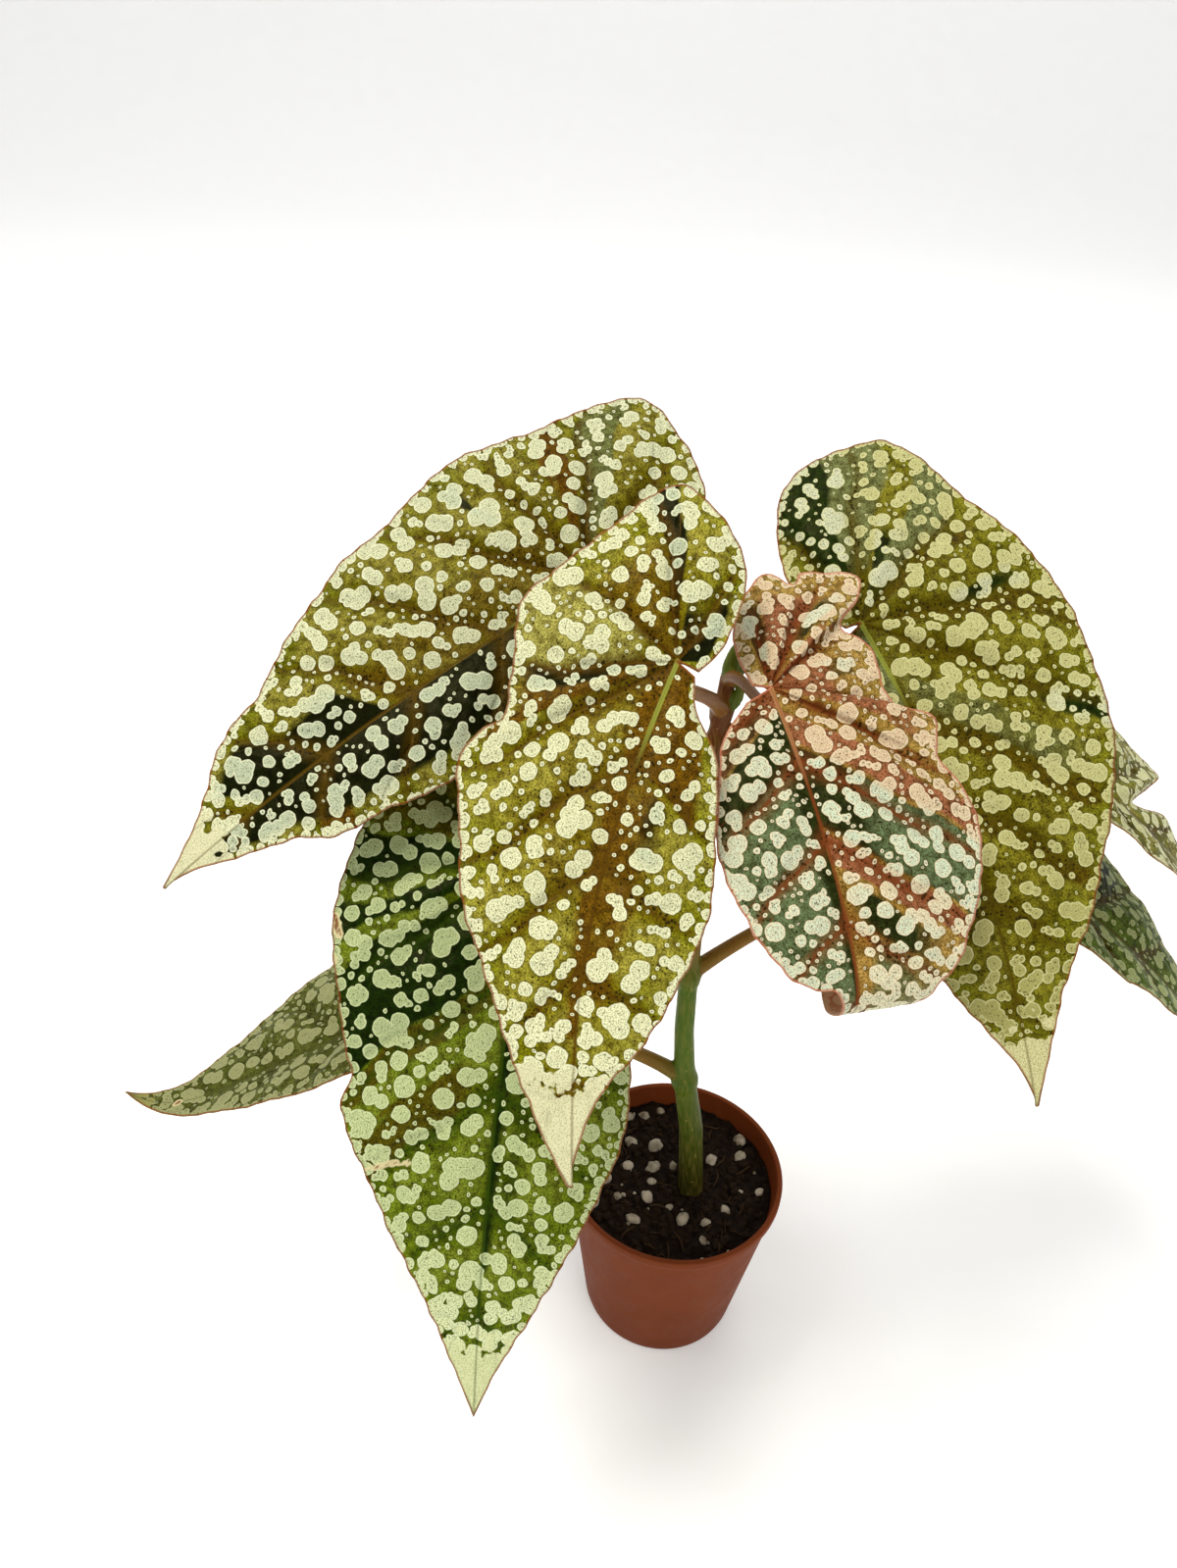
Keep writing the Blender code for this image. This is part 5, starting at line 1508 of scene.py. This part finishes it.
@dataclass
class Pot:
    """Round tapered nursery pot with a thin lip and drain holes."""

    height: float = 55.0
    rim_radius: float = 30.0
    base_radius: float = 21.8
    wall: float = 1.0
    floor: float = 1.4
    lip_height: float = 2.6
    lip_overhang: float = 0.9
    rim_width: float = 1.5
    foot_round: float = 1.2
    sides: int = 160
    drain_holes: int = 6
    drain_radius: float = 2.6
    drain_circle: float = 13.0
    finish: MouldedPolypropylene = field(default_factory=MouldedPolypropylene)

    def wall_radius(self, height: float) -> float:
        """Finds the outer radius of the tapered wall at a height."""
        under_lip = self.rim_radius - self.lip_overhang
        return self.base_radius + (under_lip - self.base_radius) * height / (self.height - self.lip_height)

    def corner(self, radius: float, height: float, size: float, start: float, end: float) -> list:
        """Rounds a corner of the profile with a short arc."""
        angles = np.radians(np.linspace(start, end, 5))
        return [(radius + size * math.cos(a), height + size * math.sin(a)) for a in angles]

    def profile(self) -> list:
        """Works out the pot's section, up its outside and down its inside."""
        lip_low = self.height - self.lip_height
        soft = 0.45
        rim_inside = self.rim_radius - self.rim_width
        section = [(0.0, 0.25), (self.base_radius - 3.2, 0.25), (self.base_radius - 3.0, 0.0),
                   (self.base_radius - self.foot_round, 0.0)]
        section += self.corner(self.base_radius - self.foot_round, self.foot_round, self.foot_round, -80, -8)
        section += [(self.wall_radius(h), h) for h in np.linspace(self.foot_round + 1, lip_low - soft, 24)]
        section += [(self.wall_radius(lip_low) + 0.15, lip_low - 0.1)]
        section += self.corner(self.rim_radius - soft, lip_low + soft, soft, -80, 0)
        section += self.corner(self.rim_radius - soft, self.height - soft, soft, 0, 90)
        section += self.corner(rim_inside + soft, self.height - soft, soft, 100, 180)
        section += [(self.wall_radius(h) - self.wall, h) for h in np.linspace(lip_low - self.wall, 4.5, 24)]
        section += self.corner(self.wall_radius(3.5) - self.wall - 1.6, self.floor + 1.6, 1.6, 0, -90)
        section += [(0.0, self.floor)]
        return section

    def build(self) -> bpy.types.Object:
        """Builds the pot.

        Returns:
            The finished pot.
        """
        points, faces = turned_body(self.profile(), self.sides)
        pot = add_mesh("pot_shell", points, faces)
        for i in range(self.drain_holes):
            angle = 2 * math.pi * (i + 0.5) / self.drain_holes
            hole, hole_faces = turned_body([(0, -2), (self.drain_radius, -2), (self.drain_radius, 5), (0, 5)], 40)
            hole = hole + np.array([math.cos(angle), math.sin(angle), 0]) * self.drain_circle
            drill = add_mesh(f"drill_{i}", hole, hole_faces)
            cut = pot.modifiers.new(f"drain {i}", "BOOLEAN")
            cut.operation = "DIFFERENCE"
            cut.solver = "MANIFOLD"
            cut.object = drill
            graph = bpy.context.evaluated_depsgraph_get()
            made = bpy.data.meshes.new_from_object(pot.evaluated_get(graph))
            pot.modifiers.clear()
            pot.data = made
            bpy.data.objects.remove(drill, do_unlink=True)
        pot.data.shade_smooth()
        pot.data.set_sharp_from_angle(angle=math.radians(45))
        pot.data.materials.clear()
        pot.data.materials.append(self.finish.build())
        return pot


@dataclass(frozen=True)
class PeatMix:
    """Moist peat potting mix: matt, almost black brown crumbs with paler fibres."""

    wet: str = "#100804"
    crumb: str = "#24160a"
    fibre: str = "#4a3620"
    roughness: float = 0.92

    CRUMB_SIZE_MM = 1.6

    def build(self, name: str, light: float = 0.0) -> bpy.types.Material:
        """Makes the material.

        Args:
            name: Name of the material.
            light: How far it leans to the paler fibre colour.

        Returns:
            The material.
        """
        finish, tree, shader = new_finish(name)
        place = add_node(tree, "TexCoord")
        scaled = add_node(tree, "VectorMath", {"operation": "SCALE"}, {
            0: place.outputs["Object"], "Scale": 1 / MM})
        crumbs = add_node(tree, "TexNoise", {}, {"Vector": scaled, "Scale": 1 / self.CRUMB_SIZE_MM,
                                                 "Detail": 6.0, "Roughness": 0.65})
        share = add_node(tree, "MapRange", {}, {0: crumbs.outputs[0], 1: 0.38, 2: 0.68, 3: 0.0, 4: 1.0})
        dark = add_node(tree, "Mix", {"data_type": "RGBA"}, {
            "Factor": share, "A": linear(self.wet), "B": linear(self.crumb)})
        lit = add_node(tree, "Mix", {"data_type": "RGBA"}, {
            "Factor": light, "A": dark, "B": linear(self.fibre)})
        tree.links.new(lit.outputs[2], shader.inputs["Base Color"])
        shader.inputs["Roughness"].default_value = self.roughness
        shader.inputs["Specular IOR Level"].default_value = 0.15
        height = add_node(tree, "Math", {"operation": "MULTIPLY"}, {0: crumbs.outputs[0], 1: 0.6})
        bump = add_node(tree, "Bump", {}, {"Strength": 0.9, "Distance": MM, "Height": height})
        tree.links.new(bump.outputs[0], shader.inputs["Normal"])
        return finish


@dataclass(frozen=True)
class ExpandedPerlite:
    """Perlite, a volcanic glass puffed by heat: chalky white grains with tiny open pores."""

    white: str = "#b3a793"
    stain: str = "#5a4b35"
    roughness: float = 0.85

    PORE_SIZE_MM = 0.35

    def build(self) -> bpy.types.Material:
        """Makes the material."""
        finish, tree, shader = new_finish("expanded perlite")
        place = add_node(tree, "TexCoord")
        scaled = add_node(tree, "VectorMath", {"operation": "SCALE"}, {
            0: place.outputs["Object"], "Scale": 1 / MM})
        stain = add_node(tree, "TexNoise", {}, {"Vector": scaled, "Scale": 1 / 3.2, "Detail": 4.0})
        share = add_node(tree, "MapRange", {}, {0: stain.outputs[0], 1: 0.42, 2: 0.66, 3: 0.0, 4: 0.8})
        colour = add_node(tree, "Mix", {"data_type": "RGBA"}, {
            "Factor": share, "A": linear(self.white), "B": linear(self.stain)})
        tree.links.new(colour.outputs[2], shader.inputs["Base Color"])
        shader.inputs["Roughness"].default_value = self.roughness
        pores = add_node(tree, "TexVoronoi", {}, {"Vector": scaled, "Scale": 1 / self.PORE_SIZE_MM})
        height = add_node(tree, "Math", {"operation": "MULTIPLY"}, {0: pores.outputs["Distance"], 1: 0.12})
        bump = add_node(tree, "Bump", {}, {"Strength": 0.8, "Distance": MM, "Height": height})
        tree.links.new(bump.outputs[0], shader.inputs["Normal"])
        return finish


@dataclass
class Soil:
    """Filling of the pot: a crumbly bed with loose crumbs, fibres and perlite grains on it."""

    pot: Pot
    cane_foot: tuple[float, float]
    cane_hole: float
    level: float = 49.0
    lump: float = 0.9
    fit_gap: float = 0.3
    fillet: float = 1.5
    perlite_count: int = 26
    perlite_radius: tuple[float, float] = (1.2, 2.1)
    perlite_rise: float = 0.1
    edge_room: float = 2.6
    grain_room: float = 0.6
    crumb_count: int = 420
    foot_crumbs: int = 46
    small_perlite_count: int = 20
    fibre_count: int = 36
    seed: int = 11

    SPOKES = 220
    RINGS = 80
    FINE_HEIGHT = 0.55

    def surface(self, x: float, y: float) -> float:
        """Finds the height of the crumbly surface."""
        rough = (math.sin(0.43 * x + 1.7) * math.sin(0.39 * y + 0.4) + 0.6 * math.sin(0.93 * x - 0.71 * y)
                 + 0.5 * math.sin(1.9 * x + 0.8 * y + 2.0))
        fine = noise.fractal(Vector((x, y, 0.0)) * 0.45, 0.8, 2.1, 5)
        return self.level + self.lump * 0.5 * rough + self.FINE_HEIGHT * fine

    def bed(self) -> bpy.types.Object:
        """Builds the soil body with its fine crumbly top."""
        floor = self.pot.floor + self.fit_gap
        inset = self.pot.wall + self.fit_gap
        low = floor + self.fillet + self.fit_gap
        top = self.pot.wall_radius(self.level) - inset
        profile = [(0.0, floor), (self.pot.wall_radius(floor) - inset - self.fillet, floor),
                   (self.pot.wall_radius(low) - inset, low), (top, self.level - 1.5)]
        profile += [(top * i / self.RINGS, self.level) for i in range(self.RINGS, -1, -1)]
        points, faces = turned_body(profile, self.SPOKES)
        for point in points:
            if point[2] > self.level - 0.01:
                point[2] = self.surface(point[0], point[1])
        return add_mesh("soil_bed", points, faces)

    def perlite_places(self, draw: random.Random) -> list:
        """Draws the places and radii of the large white grains, as in the packed soil."""
        reach = self.pot.wall_radius(self.level) - self.pot.wall - self.fit_gap - self.edge_room
        grains = []
        while len(grains) < self.perlite_count:
            radius = draw.uniform(*self.perlite_radius)
            angle = draw.uniform(0, 2 * math.pi)
            distance = reach * math.sqrt(draw.random())
            x, y = distance * math.cos(angle), distance * math.sin(angle)
            from_cane = math.hypot(x - self.cane_foot[0], y - self.cane_foot[1])
            if from_cane < self.cane_hole + radius + 2 * self.grain_room:
                continue
            if all(math.hypot(x - a, y - b) > radius + c + self.grain_room for a, b, c in grains):
                grains.append((x, y, radius))
        return grains

    def lumps(self, name: str, places: list, draw: random.Random, level: int, sunk: float,
              roughness: float) -> bpy.types.Object:
        """Builds many irregular lumps resting in the surface as one piece.

        Args:
            name: Name of the piece.
            places: Place and radius of each lump.
            draw: Source of the shapes.
            level: Subdivision of each lump.
            sunk: Share of the radius by which a lump is sunk.
            roughness: How irregular the lumps are.

        Returns:
            The new object.
        """
        ball = bmesh.new()
        bmesh.ops.create_icosphere(ball, subdivisions=level, radius=1.0)
        unit = [v.co.copy() for v in ball.verts]
        corners = [[v.index for v in face.verts] for face in ball.faces]
        ball.free()
        points = []
        faces = []
        for x, y, radius in places:
            stretch = Vector((draw.uniform(0.75, 1.2), draw.uniform(0.75, 1.2), draw.uniform(0.65, 0.9)))
            turn = Matrix.Rotation(draw.uniform(0, math.pi), 3, "Z") @ Matrix.Rotation(draw.uniform(-0.5, 0.5), 3, "X")
            shift = Vector((draw.uniform(0, 50), draw.uniform(0, 50), 0))
            start = len(points)
            height = self.surface(x, y) - radius * sunk
            for spot in unit:
                push = 1 + roughness * noise.fractal(spot * 1.1 + shift, 0.9, 2.2, 3)
                local = turn @ Vector(c * s for c, s in zip(spot, stretch)) * radius * push
                points.append((x + local.x, y + local.y, height + local.z))
            faces += [[c + start for c in face] for face in corners]
        return add_mesh(name, np.array(points), faces)

    def scatter(self, draw: random.Random, count: int, low: float, high: float) -> list:
        """Draws places and radii over the whole surface, clear of the wall and the cane."""
        reach = self.pot.wall_radius(self.level) - self.pot.wall - self.fit_gap
        places = []
        while len(places) < count:
            radius = draw.uniform(low, high)
            angle = draw.uniform(0, 2 * math.pi)
            distance = (reach - radius * 1.3) * math.sqrt(draw.random())
            x, y = distance * math.cos(angle), distance * math.sin(angle)
            if math.hypot(x - self.cane_foot[0], y - self.cane_foot[1]) > self.cane_hole + radius:
                places.append((x, y, radius))
        return places

    def fibres(self, draw: random.Random) -> bpy.types.Object:
        """Builds the short bent peat fibres on the surface as one piece."""
        points = []
        faces = []
        for x, y, length in self.scatter(draw, self.fibre_count, 1.6, 4.2):
            angle = draw.uniform(0, math.pi)
            bend = draw.uniform(-0.35, 0.35)
            route = []
            for t in np.linspace(-1, 1, 9):
                px = x + math.cos(angle + bend * t) * length * t * 0.8
                py = y + math.sin(angle + bend * t) * length * t * 0.8
                route.append((px, py, self.surface(px, py) + 0.25 + 0.5 * (1 - t * t) * draw.uniform(0.5, 1)))
            thick = draw.uniform(0.12, 0.26)
            tube = Tube(np.array(route), np.full(9, thick) * (0.4, 0.8, 1, 1, 1, 1, 1, 0.8, 0.4), 6)
            tube_points, tube_faces = tube.mesh_parts()
            faces += [[c + len(points) for c in face] for face in tube_faces]
            points += tube_points.tolist()
        return add_mesh("soil_fibres", np.array(points), faces)

    def build(self) -> list[bpy.types.Object]:
        """Builds the bed and all that lies on it.

        Returns:
            The finished pieces.
        """
        draw = random.Random(self.seed)
        mix = PeatMix()
        bed = self.bed()
        bed.data.materials.append(mix.build("moist peat mix"))
        grains = self.lumps("perlite_grains", self.perlite_places(draw), draw, 3, -self.perlite_rise, 0.28)
        small = self.lumps("small_perlite", self.scatter(draw, self.small_perlite_count, 0.35, 0.8), draw, 2, 0.1, 0.3)
        perlite = ExpandedPerlite().build()
        grains.data.materials.append(perlite)
        small.data.materials.append(perlite)
        places = self.scatter(draw, self.crumb_count, 0.4, 1.5)
        for _ in range(self.foot_crumbs):
            radius = draw.uniform(0.4, 1.0)
            angle = draw.uniform(0, 2 * math.pi)
            away = self.cane_hole + radius * draw.uniform(0.1, 1.3)
            places.append((self.cane_foot[0] + away * math.cos(angle), self.cane_foot[1] + away * math.sin(angle),
                           radius))
        crumbs = self.lumps("soil_crumbs", places, draw, 2, 0.25, 0.55)
        crumbs.data.materials.append(mix.build("loose peat crumbs", 0.12))
        fibres = self.fibres(draw)
        fibres.data.materials.append(mix.build("peat fibres", 0.7))
        return [bed, grains, small, crumbs, fibres]


@dataclass(frozen=True)
class Studio:
    """Plain pale studio: a swept floor, soft light from all round and the photo's camera."""

    camera_spot: Triple = (-31.0, -209.0, 327.0)
    pitch: float = 34.7
    yaw: float = 0.2
    roll: float = 3.5
    lens: float = 27.02
    paper: str = "#f9fafc"
    world_light: float = 0.5

    def camera(self) -> None:
        """Makes the camera at the photo's place and angle."""
        yaw, pitch, roll = (math.radians(a) for a in (self.yaw, self.pitch, self.roll))
        ahead = Vector((math.sin(yaw) * math.cos(pitch), math.cos(yaw) * math.cos(pitch), -math.sin(pitch)))
        right = Vector((math.cos(yaw), -math.sin(yaw), 0.0))
        up = right.cross(ahead)
        across = right * math.cos(roll) + up * math.sin(roll)
        upward = up * math.cos(roll) - right * math.sin(roll)
        turn = Matrix((across, upward, -ahead)).transposed().to_4x4()
        data = bpy.data.cameras.new("camera")
        data.lens = self.lens
        data.clip_start = 0.01
        camera = bpy.data.objects.new("camera", data)
        camera.matrix_world = Matrix.Translation(Vector(self.camera_spot) * MM) @ turn
        bpy.context.scene.collection.objects.link(camera)
        bpy.context.scene.camera = camera

    def floor(self) -> None:
        """Makes the pale paper sweep that the pot stands on."""
        half_width = 4000.0
        bend = 900.0
        back = 2600.0
        section = [(-2500.0, 0.0), (0.0, 0.0)]
        section += [(back - bend + bend * math.sin(a), bend - bend * math.cos(a))
                    for a in np.linspace(0, math.pi / 2, 16)]
        section.append((back, 3500.0))
        points = [(side * half_width, y, z) for side in (-1, 1) for y, z in section]
        count = len(section)
        faces = [[i, i + 1, count + i + 1, count + i] for i in range(count - 1)]
        mesh = bpy.data.meshes.new("paper_floor")
        mesh.from_pydata([tuple(Vector(p) * MM) for p in points], [], faces)
        mesh.shade_smooth()
        floor = bpy.data.objects.new("paper_floor", mesh)
        bpy.context.scene.collection.objects.link(floor)
        finish, tree, shader = new_finish("pale paper")
        grain = add_node(tree, "TexNoise", {}, {"Scale": 300.0, "Detail": 2.0})
        tone = add_node(tree, "Mix", {"data_type": "RGBA"}, {
            "Factor": grain.outputs[0], "A": linear(self.paper), "B": linear("#f0f0ee")})
        tree.links.new(tone.outputs[2], shader.inputs["Base Color"])
        shader.inputs["Roughness"].default_value = 0.9
        shader.inputs["Emission Color"].default_value = (1.0, 1.0, 1.0, 1.0)
        shader.inputs["Emission Strength"].default_value = 0.2
        mesh.materials.append(finish)
        floor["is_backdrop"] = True

    def lamp(self, name: str, spot: Triple, size: float, power: float) -> None:
        """Makes one soft square lamp that faces the plant.

        Args:
            name: Name of the lamp.
            spot: Its place in metres.
            size: Its side in metres.
            power: Its power in watts.
        """
        data = bpy.data.lights.new(name, "AREA")
        data.size = size
        data.energy = power
        data.color = (1.0, 0.965, 0.89)
        lamp = bpy.data.objects.new(name, data)
        lamp.location = spot
        lamp.rotation_euler = (Vector((0, 0, 0.12)) - Vector(spot)).to_track_quat("-Z", "Y").to_euler()
        bpy.context.scene.collection.objects.link(lamp)

    def build(self) -> None:
        """Sets up the camera, the floor, the lamps and the surrounding light."""
        self.camera()
        self.floor()
        self.lamp("key", (-0.55, -0.25, 1.55), 0.6, 20.0)
        self.lamp("fill", (0.9, -1.3, 1.0), 1.2, 8.0)
        self.lamp("back", (0.3, 1.2, 1.2), 1.0, 4.0)
        world = bpy.data.worlds.new("studio light")
        world.use_nodes = True
        sky = world.node_tree.nodes["Background"]
        sky.inputs["Color"].default_value = (1.0, 1.0, 1.0, 1.0)
        sky.inputs["Strength"].default_value = self.world_light
        bpy.context.scene.world = world
        bpy.context.scene.view_settings.view_transform = "Standard"


def write_sizes() -> None:
    """Updates the view layer.
    """
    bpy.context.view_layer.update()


def main(cad_box: tuple) -> None:
    """Builds every piece of the plant and its studio.

    Args:
        cad_box: Lowest and highest corner of the CAD model; not used.
    """
    logging.basicConfig(level=logging.INFO, format="%(name)s: %(message)s")
    log.info("frame holds %d nodes", len(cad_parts))
    Studio().build()
    pot = Pot()
    settle(pot.build(), "pot_plastic", "pot")
    cane = Cane(LEAVES)
    foot = cane.route[0]
    for piece in Soil(pot, foot[:2], cane.radius(49.0) + 0.35).build():
        settle(piece, "potting_mix", "soil")
    settle(cane.build(), "stem", "cane")
    for leaf in LEAVES:
        settle(leaf.build(), leaf.slot, leaf.node)
    write_sizes()


CAD_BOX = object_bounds()

if __name__ == "__main__":
    main(CAD_BOX)
